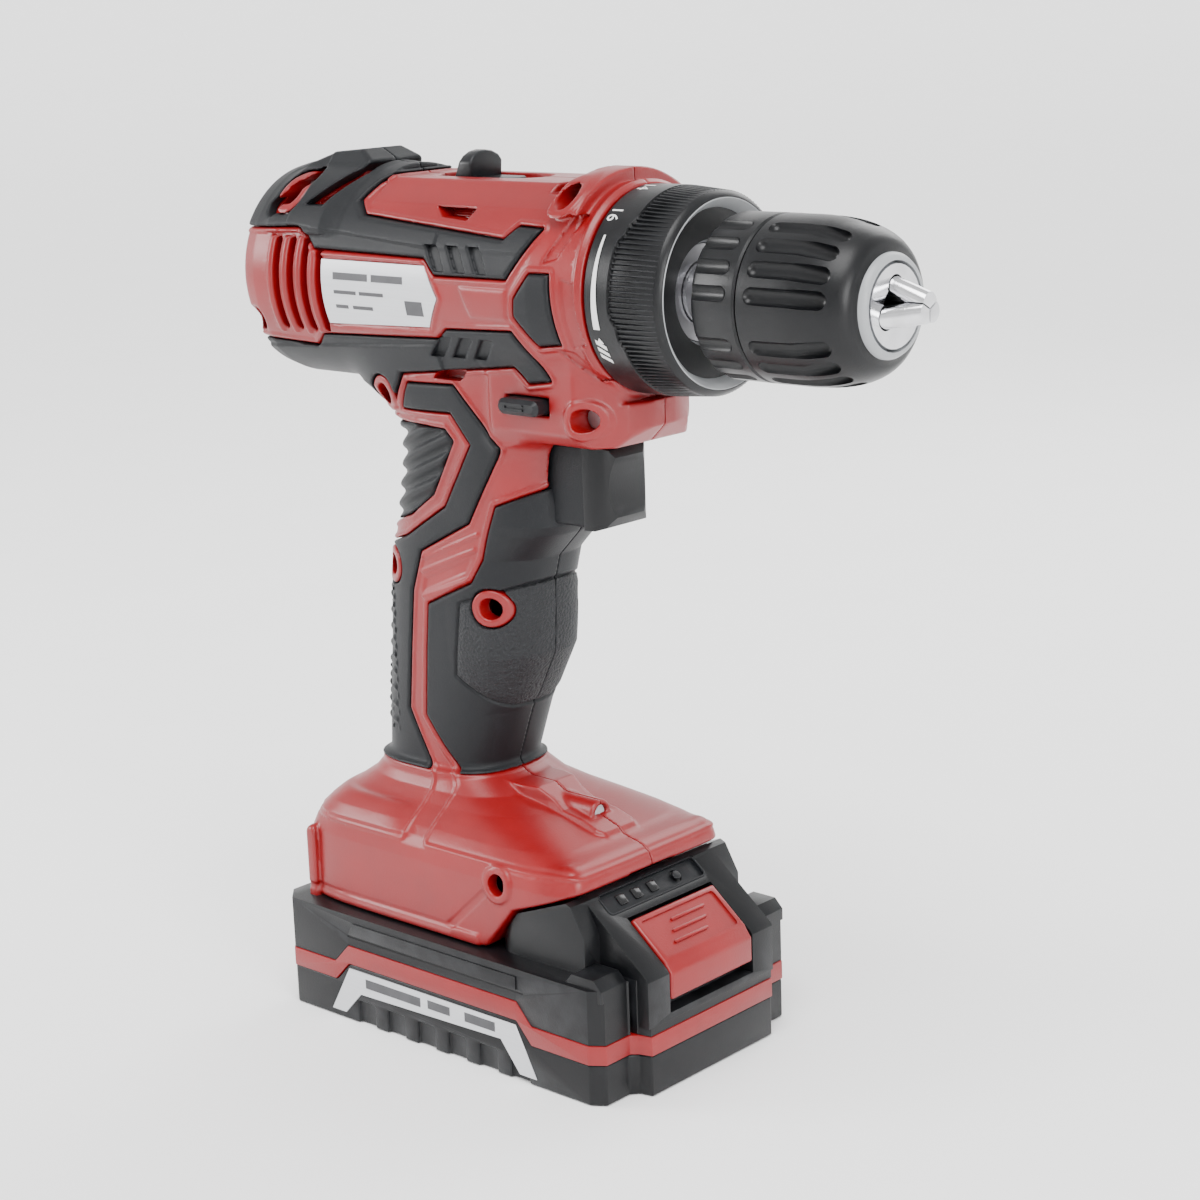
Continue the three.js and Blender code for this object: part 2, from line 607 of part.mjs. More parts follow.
function addGearbox() {
  const room = RING_GEAR_R + GAP;
  const shell = turned([
    [CASE_REAR, room], [GEAR_REAR + GEAR_WIDTH + 16, room], [GEAR_REAR + GEAR_WIDTH + 16, SPINDLE_R + GAP],
    [CASE_FRONT - 9, SPINDLE_R + GAP], [CASE_FRONT - 9, 13], [CASE_FRONT, 13], [CASE_FRONT, RING_BORE - GAP],
    [CASE_STEP, RING_BORE - GAP], [CASE_STEP, CASE_R], [CASE_REAR, CASE_R], [CASE_REAR, room],
  ]);
  const forkSlot = box(FORK.x - SHIFT_TRAVEL - GAP, FORK.x + FORK.width + GAP, -FORK.half - GAP,
    FORK.half + GAP, 15, 40);
  add("gear_case", cut(shell, forkSlot), SILVER, head);
  const ringTeeth = prismX(gearOutline(RING_TEETH, Math.PI / 2 + Math.PI / RING_TEETH, true), -20, 20);
  const groove = cut(rod(FORK.x - GAP, FORK.x + FORK.width + GAP, RING_GEAR_R + 1, 0),
    rod(-20, 20, RING_GEAR_R - 1.4, 0));
  add("ring_gear", cut(rod(GEAR_REAR - 1, GEAR_REAR + GEAR_WIDTH + 3, RING_GEAR_R), ringTeeth, groove), STEEL, head);
  for (let i = 0; i < PLANETS; i++) {
    const a = planetAngle(i);
    const hub = rod(-20, 20, 2 + GAP, 0, 16);
    const planet = cut(gear(PLANET_TEETH, a, GEAR_REAR, GEAR_REAR + GEAR_WIDTH - GAP), hub);
    add(`planet_${i + 1}`, planet.translate([0, PLANET_ORBIT * Math.cos(a), PLANET_ORBIT * Math.sin(a)]), STEEL, head);
  }
  const front = GEAR_REAR + GEAR_WIDTH;
  const disc = turned([
    [front, 0], [front, PLANET_ORBIT + 3.5], [front + 4, PLANET_ORBIT + 3.5], [front + 4, SPINDLE_R],
    [CASE_FRONT + 1, SPINDLE_R], [CASE_FRONT + 1, 6], [CHUCK_REAR + 17, 6], [CHUCK_REAR + 17, 0],
  ]);
  const pins = [0, 1, 2].map((i) => {
    const [y, z] = [PLANET_ORBIT * Math.cos(planetAngle(i)), PLANET_ORBIT * Math.sin(planetAngle(i))];
    return bar([GEAR_REAR, y, z], [front + 1, y, z], 2);
  });
  const hollow = cut(disc, rod(CHUCK_REAR, CHUCK_REAR + 18, 2.6, 0, 16));
  add("spindle", union(hollow, pins), STEEL, head);
  add("spindle_bearing", sleeve(CASE_FRONT - 9 + GAP, CASE_FRONT - GAP, 13 - GAP, SPINDLE_R + GAP), STEEL, head);
}

function addSelector() {
  const { rear, length, half: side, base } = SELECTOR;
  const front = rear + length;
  const top = base + 7.3;
  const knob = prismY([
    [rear, base], [front, base], [front, base + 2.4], [front - 3, top - 0.6], [front - 5, top],
    [front - 9, top], [front - 17, base + 1.4], [rear, base + 1.2],
  ], -side, side);
  const stem = box(FORK.x, FORK.x + FORK.width, -FORK.half, FORK.half, AXIS_Z + RING_GEAR_R - 0.9, base + 0.5);
  add("speed_selector", union(knob, stem), BLACK);
}

// ---------- torque ring and chuck ----------
function addTorqueRing() {
  const profile = [
    [BARREL_FRONT + 0.6, RING_BORE], [BARREL_FRONT + 0.6, RING_R], [RING_FRONT - 5, RING_R],
    [RING_FRONT, RING_FRONT_R], [RING_FRONT, RING_FRONT_R - 1.5], [CASE_FRONT + 3, 14],
    [CASE_FRONT + GAP, 14], [CASE_FRONT + GAP, RING_BORE], [BARREL_FRONT + 0.6, RING_BORE],
  ];
  add("torque_ring", turned(profile), BLACK, head);
}

// The middle line of jaw i: from its tip, out and back at the jaw angle.
function jawLine(i, from, to, side = 1.2) {
  const a = Math.PI / 2 + (2 * Math.PI * i) / 3;
  const place = (s) => {
    const r = side + s * Math.sin(JAW_ANGLE);
    return [JAW_TIP - s * Math.cos(JAW_ANGLE), r * Math.cos(a), r * Math.sin(a)];
  };
  return [place(from), place(to)];
}

function makeJaw(i) {
  const a = Math.PI / 2 + (2 * Math.PI * i) / 3;
  const round = bar(...jawLine(i, -4, JAW_LENGTH), JAW_R, 20);
  const reach = 40;
  const wedge = [-1, 1].map((s) => [reach * Math.cos(a + s * (Math.PI / 3)), reach * Math.sin(a + s * (Math.PI / 3))]);
  const apex = [GAP * Math.cos(a), GAP * Math.sin(a)];
  return round.intersect(prismX([apex, ...wedge], CHUCK_REAR, JAW_TIP));
}

function addChuck() {
  const seam = CHUCK_SEAM;
  const core = turned([
    [CHUCK_REAR + 1, 0], [CHUCK_REAR + 1, CHUCK_CORE_R], [seam + 28, CHUCK_CORE_R], [seam + 28, 12],
    [CHUCK_NOSE, 10.5], [CHUCK_NOSE, 0],
  ]);
  const jawBores = [0, 1, 2].map((i) => bar(...jawLine(i, -20, JAW_LENGTH + JAW_TRAVEL + 3), JAW_R + GAP, 20));
  const bores = [rod(0, CHUCK_REAR + 18, 6 + GAP), rod(CHUCK_REAR, CHUCK_NOSE + 1, 5.2, 0, 20)];
  add("chuck_body", cut(core, jawBores, bores), CHROME, head);
  add("chuck_rear_sleeve", turned([
    [CHUCK_REAR, CHUCK_CORE_R + GAP], [CHUCK_REAR, CHUCK_R - 1.5], [CHUCK_REAR + 1.5, CHUCK_R],
    [seam - GAP, CHUCK_R], [seam - GAP, CHUCK_CORE_R + GAP], [CHUCK_REAR, CHUCK_CORE_R + GAP],
  ]), BLACK, head);
  add("chuck_front_sleeve", turned([
    [seam, 19], [seam, CHUCK_R], [seam + 23, CHUCK_R], [seam + 28.5, 19.2], [CHUCK_NOSE - 1.5, CHUCK_NOSE_R + 1.5],
    [CHUCK_NOSE, CHUCK_NOSE_R], [CHUCK_NOSE, 11.2], [seam + 28 + GAP, 12.6], [seam + 28 + GAP, CHUCK_CORE_R + GAP],
    [seam + 17, CHUCK_CORE_R + GAP], [seam + 11, CHUCK_CORE_R + GAP], [seam + 11, 19], [seam, 19],
  ]), BLACK, head);
  for (let i = 0; i < 3; i++) add(`jaw_${i + 1}`, makeJaw(i), CHROME, head);
  add("chuck_screw", union(rod(CHUCK_REAR + 17 + GAP, CHUCK_REAR + 20, 4.6, 0, 16),
    rod(CHUCK_REAR + 5, CHUCK_REAR + 18, 2.3, 0, 16)), STEEL, head);
}

// ---------- trigger, switch and direction lever ----------
const SWITCH = { rear: -17, front: 4, half: 10 };

function addControls() {
  const [low, top] = [TRIGGER_LOW, TRIGGER_TOP];
  const mid = (low + top) / 2;
  const front = TRIGGER_FRONT;
  const stemRear = SWITCH.front + TRIGGER_TRAVEL + 1;
  const shoe = prismY([
    [stemRear + 6, low], [front - 4, low], [front - 0.5, low + 2.5], [front - 2.5, mid - 3], [front - 3, mid + 2],
    [front - 0.5, top - 3], [front, top], [stemRear + 6, top],
  ], -TRIGGER_HALF, TRIGGER_HALF);
  add("trigger", union(shoe, box(stemRear, stemRear + 7, -5, 5, mid - 6, mid + 6)), BLACK);
  add("switch_module", box(SWITCH.rear, SWITCH.front, -SWITCH.half, SWITCH.half, low + 1, top - 1), BLACK);
  const coil = bar([SWITCH.front + GAP, 0, mid], [stemRear - GAP, 0, mid], 3.5, 16);
  add("trigger_spring", cut(coil, bar([SWITCH.front - 5, 0, mid], [stemRear + 5, 0, mid], 2.6, 16)), STEEL);
  const width = LEVER_WIDTH / 2;
  const chamfer = 2;
  const lever = prismZ([
    [LEVER.x - width + chamfer, LEVER.right], [LEVER.x + width - chamfer, LEVER.right],
    [LEVER.x + width, LEVER.right + chamfer], [LEVER.x + width, LEVER.right + LEVER_LENGTH - chamfer],
    [LEVER.x + width - chamfer, LEVER.right + LEVER_LENGTH], [LEVER.x - width + chamfer, LEVER.right + LEVER_LENGTH],
    [LEVER.x - width, LEVER.right + LEVER_LENGTH - chamfer], [LEVER.x - width, LEVER.right + chamfer],
  ], LEVER.z - LEVER_HEIGHT / 2, LEVER.z + LEVER_HEIGHT / 2);
  add("direction_lever", lever, BLACK);
}

const BLADES = [-12, 0, 12];
const TERMINALS = { rear: FOOT_REAR + 5.5, front: RAIL_REAR - 2, half: 17 };

// The blades point forwards, into the slots at the back of the pack's rail block.
function addTerminals() {
  const z = NECK_TOP + 2;
  const block = box(TERMINALS.rear, TERMINALS.front, -TERMINALS.half, TERMINALS.half, z - 2.5, z + 7);
  const blades = BLADES.map((y) => box(TERMINALS.front - 1, TERMINALS.front + 12, y - 0.4, y + 0.4, z - 1, z + 2));
  add("terminal_block", union(block, blades), BRASS);
}

function lead(points, r) {
  const path = new THREE.CatmullRomCurve3(points.map((p) => new THREE.Vector3(...p)));
  const section = new THREE.Shape(Array.from({ length: 8 }, (_, i) =>
    new THREE.Vector2(r * Math.cos((i * Math.PI) / 4), r * Math.sin((i * Math.PI) / 4))));
  return solid(new THREE.ExtrudeGeometry(section, { steps: 14, bevelEnabled: false, extrudePath: path }));
}

function addLeads() {
  for (const [name, y, material] of [["lead_positive", 6, COPPER_RED], ["lead_negative", -6, BLACK]]) {
    add(name, lead([
      [TERMINALS.rear + 3, y, NECK_TOP + 9 + 4 * GAP], [GRIP[0][1] + 14, y, GRIP_BASE - 8],
      [(GRIP[0][1] + GRIP[0][2]) / 2, y, gripHeight(0.2)], [(GRIP[3][1] + GRIP[3][2]) / 2, y, gripHeight(0.5)],
      [(SWITCH.rear + SWITCH.front) / 2, y, TRIGGER_LOW + 1 - 2 * GAP],
    ], 1.2), material);
  }
}

// ---------- battery pack ----------
const pack = new THREE.Group();
root.add(pack);

// Plan outline of the pack, drawn in by inset.
function packPlan(inset) {
  const side = PACK_HALF - inset;
  const nose = PACK_NOSE_HALF - inset;
  const rightEdge = [
    [PACK_REAR + inset, -side + 5], [PACK_REAR + 5 + inset * 0.4, -side], [PACK_SIDE_FRONT - inset * 0.5, -side],
    [PACK_SIDE_FRONT + 3.2 - inset, -side + 1.7], [PACK_SIDE_FRONT + 3.2 - inset, -nose - 1.2],
    [PACK_FRONT - inset, -nose],
  ];
  return [...rightEdge, ...rightEdge.map(([x, y]) => [x, -y]).reverse()];
}

function packShell() {
  const block = prismZ(packPlan(0), 0, PACK_DECK);
  const side = [[PACK_HALF - 2.5, 0], [PACK_HALF, 2.5], [PACK_HALF, PACK_DECK - 2], [PACK_HALF - 3.2, PACK_DECK]];
  const section = [...side, ...side.map(([y, z]) => [-y, z]).reverse()];
  return block.intersect(prismX(section, -99, 99));
}

// Edge of the band seen from the side: it steps up along the middle of the pack.
function bandLine(z) {
  return [[-99, z], [-44, z], [-38, z + BAND_JOG], [30.5, z + BAND_JOG], [36, z], [99, z]];
}

const between = (low, high) => prismY([...low, ...high.reverse()], -60, 60);

// The wedge-shaped nose that carries the gauge and the release button.
const SLOPE_TOP = [TOWER_FRONT - 1.5, stepHeight(TOWER_FRONT - 1.5, 0.6)];
const SLOPE_LOW = [PACK_FRONT - 0.6, PACK_DECK + 1];

function noseWedge(inset) {
  const outline = [
    [FOOT_STEP_X + 14, BAND_LOW + 8], [SLOPE_TOP[0] - 12, stepHeight(SLOPE_TOP[0] - 12, 0.6) - inset], [SLOPE_TOP[0], SLOPE_TOP[1] - inset],
    [SLOPE_LOW[0] - inset, SLOPE_LOW[1] - inset], [PACK_FRONT - inset, SLOPE_LOW[1] - 2],
    [PACK_FRONT - inset, BAND_LOW + 8],
  ];
  return prismY(outline, -PACK_NOSE_HALF + inset, PACK_NOSE_HALF - inset);
}

function tower(inset) {
  const plan = [
    [FOOT_STEP_X + 1, -TOWER_HALF + inset], [TOWER_FRONT - 8, -TOWER_HALF + inset],
    [TOWER_FRONT - 2, -TOWER_HALF + 3 + inset], [TOWER_FRONT - inset, -TOWER_HALF + 9],
    [TOWER_FRONT - inset, TOWER_HALF - 9], [TOWER_FRONT - 2, TOWER_HALF - 3 - inset],
    [TOWER_FRONT - 8, TOWER_HALF - inset], [FOOT_STEP_X + 1, TOWER_HALF - inset],
  ];
  const under = [[FOOT_STEP_X - 9, BAND_LOW + 8], ...stepLine(0.5 + inset), [TOWER_FRONT + 9, BAND_LOW + 8]];
  return prismZ(plan, BAND_LOW + 8, 90).intersect(prismY(under, -60, 60));
}

function rails() {
  return [
    box(RAIL_REAR, FOOT_STEP_X + 8, -NECK_HALF, NECK_HALF, PACK_DECK - 1, NECK_TOP + 1),
    box(RAIL_REAR, FOOT_STEP_X + 6, -RAIL_HALF, RAIL_HALF, NECK_TOP, RAIL_TOP),
  ];
}

// Unit vectors down the slope and out of it.
const slopeRun = new THREE.Vector2(SLOPE_LOW[0] - SLOPE_TOP[0], SLOPE_LOW[1] - SLOPE_TOP[1]);
const SLOPE_LENGTH = slopeRun.length();
slopeRun.normalize();
const slopeOut = new THREE.Vector2(-slopeRun.y, slopeRun.x);
const onSlope = (s, out) => [
  SLOPE_TOP[0] + s * slopeRun.x + out * slopeOut.x,
  SLOPE_TOP[1] + s * slopeRun.y + out * slopeOut.y,
];
const slopeBlock = (s0, s1, low, high, y0, y1) =>
  prismY([onSlope(s0, low), onSlope(s1, low), onSlope(s1, high), onSlope(s0, high)], y0, y1);

const BUTTON_TOP = SLOPE_LENGTH - 17.5;
const GAUGE = { s: 1.5, length: 7.5, right: -22.5, left: 18.8 };
const GAUGE_KEY_Y = 8.6;

function buttonOutline(grow) {
  return [
    onSlope(BUTTON_TOP - grow, 0.4 + grow), onSlope(SLOPE_LENGTH - 1, 0.4 + grow),
    [PACK_FRONT + 0.4 + grow, SLOPE_LOW[1] - 2], [PACK_FRONT - 2.6, BAND_LOW + 12.5 - grow],
    [PACK_FRONT - 5 - grow, BAND_LOW + 12.5 - grow], onSlope(BUTTON_TOP - grow, -5 - grow),
  ];
}

// The button sweeps down along the slope's normal; its room is the button and that path.
function buttonRoom() {
  const pressed = (k) => [-k * slopeOut.x * (BUTTON_TRAVEL + 0.5), 0, -k * slopeOut.y * (BUTTON_TRAVEL + 0.5)];
  const reach = prismY(buttonOutline(0.5), -BUTTON_HALF - 0.5, BUTTON_HALF + 0.5);
  return [0, 0.25, 0.5, 0.75, 1].map((k) => reach.translate(pressed(k)));
}

function releaseButton() {
  const cap = prismY(buttonOutline(0), -BUTTON_HALF, BUTTON_HALF);
  const hookTop = SLOPE_TOP[1] + 1;
  const arm = prismY([
    onSlope(BUTTON_TOP + 2, -4), onSlope(BUTTON_TOP + 6, -6), [CATCH.x + 1, SLOPE_TOP[1] - 12],
    [CATCH.x - 2, SLOPE_TOP[1] - 12], [CATCH.x - 2, hookTop], [CATCH.x, hookTop], [CATCH.x + 3, SLOPE_TOP[1] - 5],
    [CATCH.x + 3, SLOPE_TOP[1] - 8.5],
  ], -CATCH.half + 2, CATCH.half - 2);
  return union(cap, arm);
}

function addPack() {
  const lowEdge = bandLine(BAND_LOW);
  const highEdge = bandLine(BAND_LOW + BAND_HEIGHT);
  const cellRoom = prismZ(packPlan(PACK_WALL), PACK_WALL, PACK_DECK - PACK_WALL);
  const shell = packShell();
  const ribs = Array.from({ length: 6 }, (_, i) => -35 + i * 12.5).flatMap((x) => [
    box(x, x + 7, -PACK_HALF - 2, -PACK_HALF + 1.2, -1, 7),
    box(x, x + 7, PACK_HALF - 1.2, PACK_HALF + 2, -1, 7),
  ]);
  const lower = shell.intersect(between(bandLine(-30), bandLine(BAND_LOW - GAP)));
  add("pack_lower_case", cut(lower, cellRoom, ribs, plates(GAP)), BLACK, pack);
  add("pack_band", cut(shell.intersect(between(lowEdge, highEdge)), cellRoom), RED, pack);
  const tall = union(shell, tower(0), noseWedge(0), rails());
  const upper = tall.intersect(between(bandLine(BAND_LOW + BAND_HEIGHT + GAP), bandLine(120)));
  const hollow = union(cellRoom, tower(PACK_WALL), noseWedge(PACK_WALL));
  const contacts = box(RAIL_REAR - 1, RAIL_REAR + 20, -TERMINALS.half, TERMINALS.half, PACK_DECK - 4, RAIL_TOP + 1);
  const hookHole = box(CATCH.x - 6, CATCH.x + 6, -CATCH.half, CATCH.half, PACK_DECK, 90);
  const gaugeHole = slopeBlock(GAUGE.s, GAUGE.s + GAUGE.length, -4, 3, GAUGE.right, GAUGE.left);
  add("pack_upper_case", cut(upper, hollow, buttonRoom(), contacts, hookHole, gaugeHole), BLACK, pack);
  const sidePlates = plates(0);
  add("pack_plate_right", largest(half(sidePlates, -1)), SILVER, pack);
  add("pack_plate_left", largest(half(sidePlates, 1)), SILVER, pack);
  add("release_button", releaseButton(), RED, pack);
  addGauge();
  addCells();
}

// Trapezoid plates let into both sides of the lower case.
function plates(grow) {
  const outline = [
    [-46.5, 2], [-38, BAND_LOW + 4.8], [30, BAND_LOW + 4.8], [37.5, 2], [31, 2], [24, BAND_LOW - 1], [-33.5, BAND_LOW - 2.5],
    [-40.5, 2],
  ];
  const slab = (s) => {
    const ys = [s * (PACK_HALF - 0.8 - grow), s * (PACK_HALF + 0.15 + 4 * grow)].sort((a, b) => a - b);
    return padPrism(outline, grow).intersect(box(-99, 99, ys[0], ys[1], -9, 99));
  };
  return union(slab(-1), slab(1));
}

function addGauge() {
  const { s, length, right, left } = GAUGE;
  const window = slopeBlock(s + GAP, s + length - GAP, -3, -0.6, right + GAP, left - GAP);
  const keyHole = bar([...lift(onSlope(s + length / 2, -9))], [...lift(onSlope(s + length / 2, 9))], 1.6 + GAP, 14);
  add("gauge_panel", cut(window, keyHole), BLACK, pack);
  const key = bar([...lift(onSlope(s + length / 2, -2.6))], [...lift(onSlope(s + length / 2, 0))], 1.6, 14);
  add("gauge_button", key, BLACK, pack);
}

// A point in (x, z) placed on the gauge button's line.
const lift = ([x, z]) => [x, GAUGE_KEY_Y, z];

function addCells() {
  const pitch = 2 * CELL_R + 0.6;
  const first = PACK_REAR + PACK_WALL + CELL_R + 2;
  const z = PACK_WALL + GAP + CELL_R;
  const cells = Array.from({ length: CELLS }, (_, i) =>
    across(first + i * pitch, z, -CELL_LENGTH / 2, CELL_LENGTH / 2, CELL_R, 20));
  const straps = [-1, 1].map((s) => {
    const y = s * (CELL_LENGTH / 2 - 1);
    return box(first, first + (CELLS - 1) * pitch, y - 1.5, y + 1.5, z - 3, z + 3);
  });
  add("cell_pack", union(cells, straps), CELL_WRAP, pack);
  const block = box(RAIL_REAR + 1, RAIL_REAR + 18, -TERMINALS.half + GAP, TERMINALS.half - GAP, PACK_DECK - 8, RAIL_TOP - 1.5);
  const slots = BLADES.map((y) => box(RAIL_REAR - 9, RAIL_REAR + 14, y - 0.4 - GAP, y + 0.4 + GAP, NECK_TOP, NECK_TOP + 9));
  add("contact_block", cut(block, slots), BLACK, pack);
}

addHousing();
addMotor();
addGearbox();
addSelector();
addTorqueRing();
addChuck();
addControls();
addTerminals();
addLeads();
addPack();

export default root;
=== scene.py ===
"""Looks for a cordless drill driver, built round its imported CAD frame.

Sizes in this file are millimetres unless a name says otherwise: X forward along the spindle,
Y to the left, Z up. Meshes are handed to Blender in metres.
"""

import math

import bpy
import numpy as np
from mathutils import Matrix, Vector


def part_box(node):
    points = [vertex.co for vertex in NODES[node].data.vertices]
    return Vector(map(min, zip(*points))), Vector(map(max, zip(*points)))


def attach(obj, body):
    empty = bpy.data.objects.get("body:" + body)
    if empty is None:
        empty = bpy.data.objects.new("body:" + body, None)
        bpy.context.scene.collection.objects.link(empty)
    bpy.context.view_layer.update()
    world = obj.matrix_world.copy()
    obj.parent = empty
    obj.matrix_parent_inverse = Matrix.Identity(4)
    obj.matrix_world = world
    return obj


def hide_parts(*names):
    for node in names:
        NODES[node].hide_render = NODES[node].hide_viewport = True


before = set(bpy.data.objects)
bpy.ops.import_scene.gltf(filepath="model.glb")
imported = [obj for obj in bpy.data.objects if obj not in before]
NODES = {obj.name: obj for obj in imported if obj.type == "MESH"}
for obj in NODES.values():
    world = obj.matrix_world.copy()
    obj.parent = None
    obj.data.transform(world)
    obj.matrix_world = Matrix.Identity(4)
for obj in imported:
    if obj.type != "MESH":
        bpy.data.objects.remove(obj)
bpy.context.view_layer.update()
MM = 0.001


def node_box(name):
    """Lowest and highest corner of a CAD node, in millimetres."""
    low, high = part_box(name)
    return low / MM, high / MM


# ---------- driving sizes, from the frame ----------
ring_low, ring_high = node_box("torque_ring")
AXIS = (ring_low.z + ring_high.z) / 2
RING_REAR, RING_FRONT = ring_low.x, ring_high.x
RING_R = (ring_high.z - ring_low.z) / 2
sleeve_low, sleeve_high = node_box("chuck_rear_sleeve")
CHUCK_REAR, CHUCK_SEAM = sleeve_low.x, sleeve_high.x
CHUCK_R = (sleeve_high.z - sleeve_low.z) / 2
CHUCK_NOSE = node_box("chuck_front_sleeve")[1].x
JAW_TIP = node_box("jaw_1")[1].x
BARREL_R = 30
BARREL_REAR, BARREL_FRONT = node_box("housing_right")[0].x, RING_REAR - 0.6
PLATEAU = 28.3  # flat top of the barrel, above the axis
SELECTOR_FLOOR = 26.8  # floor of the selector's tray, above the axis
# Grip sections: height, back x, front x, half width.
GRIP = [
    (61, -48.5, -5.5, 17.5), (75, -48.5, -5.5, 17.5), (94.2, -47.3, 1.5, 18), (112.3, -45.2, 10, 19),
    (131.5, -43.3, 11.5, 19.5), (141.1, -42, 14.5, 19.8), (149, -40, 22.5, 20), (151.8, -39.2, 24.5, 20),
    (165.4, -35.8, 24.5, 20.8), (175, -34.5, 25.5, 21.6), (181.2, -38, 27, 22.2), (188, -48, 28, 22.8),
    (204, -48, 28, 22.8),
]
GRIP = [(*section, 2.7) for section in GRIP]  # squareness
FOOT_BOTTOM = 34
# Foot sections: height, rear x, front x, half width, squareness.
FOOT = [
    (34, -65.5, 46, 35.5, 8), (54, -65, 46, 35.2, 8), (57.5, -64.4, 45.2, 34.4, 7), (60.2, -63.4, 42, 32.6, 6),
    (62.6, -62, 35, 30.4, 5.2), (64.8, -60.2, 26, 27.8, 4.6), (67.4, -57.2, 15, 24.4, 3.9), (70.4, -53.4, 5, 21.3, 3.3),
    (74.5, -50.2, -2, 19.2, 3),
]
# Raised shelf round its shoulder: height, rear x, front x, half width, squareness.
FOOT_SHELF = [
    (40, -63, -6, 34, 5), (60.5, -63, -9, 33.8, 4.6), (63.4, -61.6, -12, 31.6, 4), (66.6, -58.6, -16, 28, 3.6),
]
# Platform on top of the foot's front: seen from the side as (x, z), and from above as (x, y).
DECK_SIDE = [(-12, 60), (-12, 73.6), (10, 73), (14.5, 70.4), (19, 67.8), (27, 66.4), (34, 64), (37.5, 60.5), (37.5, 50),
             (-12, 50)]
DECK_PLAN = [(-12, -13), (6, -13), (14, -11), (33, -10), (38.5, -6), (38.5, 6), (33, 10), (14, 11), (6, 13), (-12, 13)]
lamp_low, lamp_high = node_box("work_light")
LAMP_X, LAMP_Y, LAMP_Z = lamp_high.x, (lamp_low.y + lamp_high.y) / 2, (lamp_low.z + lamp_high.z) / 2
# Notch in the foot that the pack's tower fills, as (x, z).
STEP_LINE = [(14, 34), (24.5, 47), (48, 55.5), (60, 55.5), (60, 20), (14, 20)]
# Round rooms about the spindle: rear, front, radius. Motor, gears, and the ways between and beyond them.
ROUND_ROOMS = [(-76.3, -17.7, 18.8), (-14.3, 38.3, 25.8), (-20, -10, 7), (37, 80, 21.4), (-80, -60, 7)]
# Square rooms, as limits of x, y and z: selector's stem, trigger, lever, the pack's rails, its neck, its catch.
SQUARE_ROOMS = [
    ((-5.4, 5.2), (-3.6, 3.6), (AXIS + 20, AXIS + 60)), ((-18, 40), (-10.9, 10.9), (151.9, 177.5)),
    ((18.7, 34.3), (-60, 60), (185.3, 190.3)), ((-58, 26), (-26.6, 26.6), (40.2, 51)),
    ((-62.3, 26), (-20.5, 20.5), (20, 45)), ((28, 55), (-9, 9), (34, 54.9)),
]
STEP = 0.55  # grid of the sculpted skins
WALL = 3  # thickness of the housing
SEAM = 0.15  # half of the parting gap between the two halves


# ---------- pad outlines, seen from the side as (x, z) ----------
def above_axis(points):
    return [(x, AXIS + dz) for x, dz in points]


TOP_PAD = above_axis([
    (-90, 14), (-77, 14), (-55, 15), (-48.3, 9.1), (-4, 8.4), (0.5, 4.1), (27.1, 4.3), (36.4, 17.3), (28.1, 17.6),
    (24.1, 14.1), (-31.7, 18.3), (-36.5, 22), (-34.5, 27), (-28, 32.4), (-28, 50), (-90, 50),
])
UNDER_PAD = above_axis([
    (-90, -18.8), (-75.8, -18.8), (-54.9, -19.6), (-49.7, -15.7), (-1.9, -13.7), (2.5, -10.8), (27.2, -9.8),
    (35.6, -23), (27.8, -24.2), (22.8, -19.9), (-21, -24.8), (-26.2, -33), (-30, -37), (-60, -37), (-90, -37),
])
HEX_PAD = above_axis([(35.4, 6.1), (41.6, 6.1), (43.2, -12.2), (36.1, -13.1), (29.5, -5.3), (30.2, -0.6)])
BACK_PAD = [
    (-60, 180.6), (-24.6, 180.6), (-19.5, 190.3), (-1.5, 190.9), (13.2, 174.6), (-0.8, 151.8), (-20.7, 141.6),
    (-25.5, 129.4), (-31, 92.7), (-21, 73), (-21, 60), (-60, 60),
]
CHEVRON = [(-60, 182.6), (-19.2, 182.7), (-3.3, 183.1), (3, 174.5), (-9.4, 155.4), (-27.3, 144.7), (-60, 134)]
THUMB_PAD = [(-60, 177.6), (-17.3, 178.3), (-6.4, 177.9), (-3.8, 175), (-13.9, 158.8), (-25, 151.6), (-60, 139.5)]
PALM_PAD = [
    (-10, 73), (-23.7, 91.8), (-19.1, 125.9), (-1.9, 134), (2.7, 141.3), (9.2, 157.2), (22.6, 162.6), (26.5, 151.2),
    (60, 149.5), (60, 60), (-10, 60),
]
PALM_INSET = [(-6.3, 127.9), (-9.9, 105.8), (2.7, 96.1), (14, 98.5), (40, 103), (40, 143), (22, 140), (14.2, 134.6)]
PLATE = above_axis([(-45, 6.3), (-3.6, 6.3), (1, -2.3), (-4, -10.5), (-45, -12)])
SIDE_PADS = {"top": TOP_PAD, "under": UNDER_PAD, "hex": HEX_PAD, "back": BACK_PAD, "palm": PALM_PAD}
UPPER_SLOTS = [[(-3.8 + s, 230), (0.4 + s, 230), (4.4 + s, 223.2), (0.4 + s, 223.2)] for s in (0, 8, 16)]
LOWER_SLOTS = [[(-0.4 + s, 205.2), (3.8 + s, 205.2), (-1.5 + s, 199.4), (-5.8 + s, 199.4)] for s in (0, 7.7, 15.4)]
CROWN_SLOT = ((-68.6, 237.6), (-60.6, 245.6))
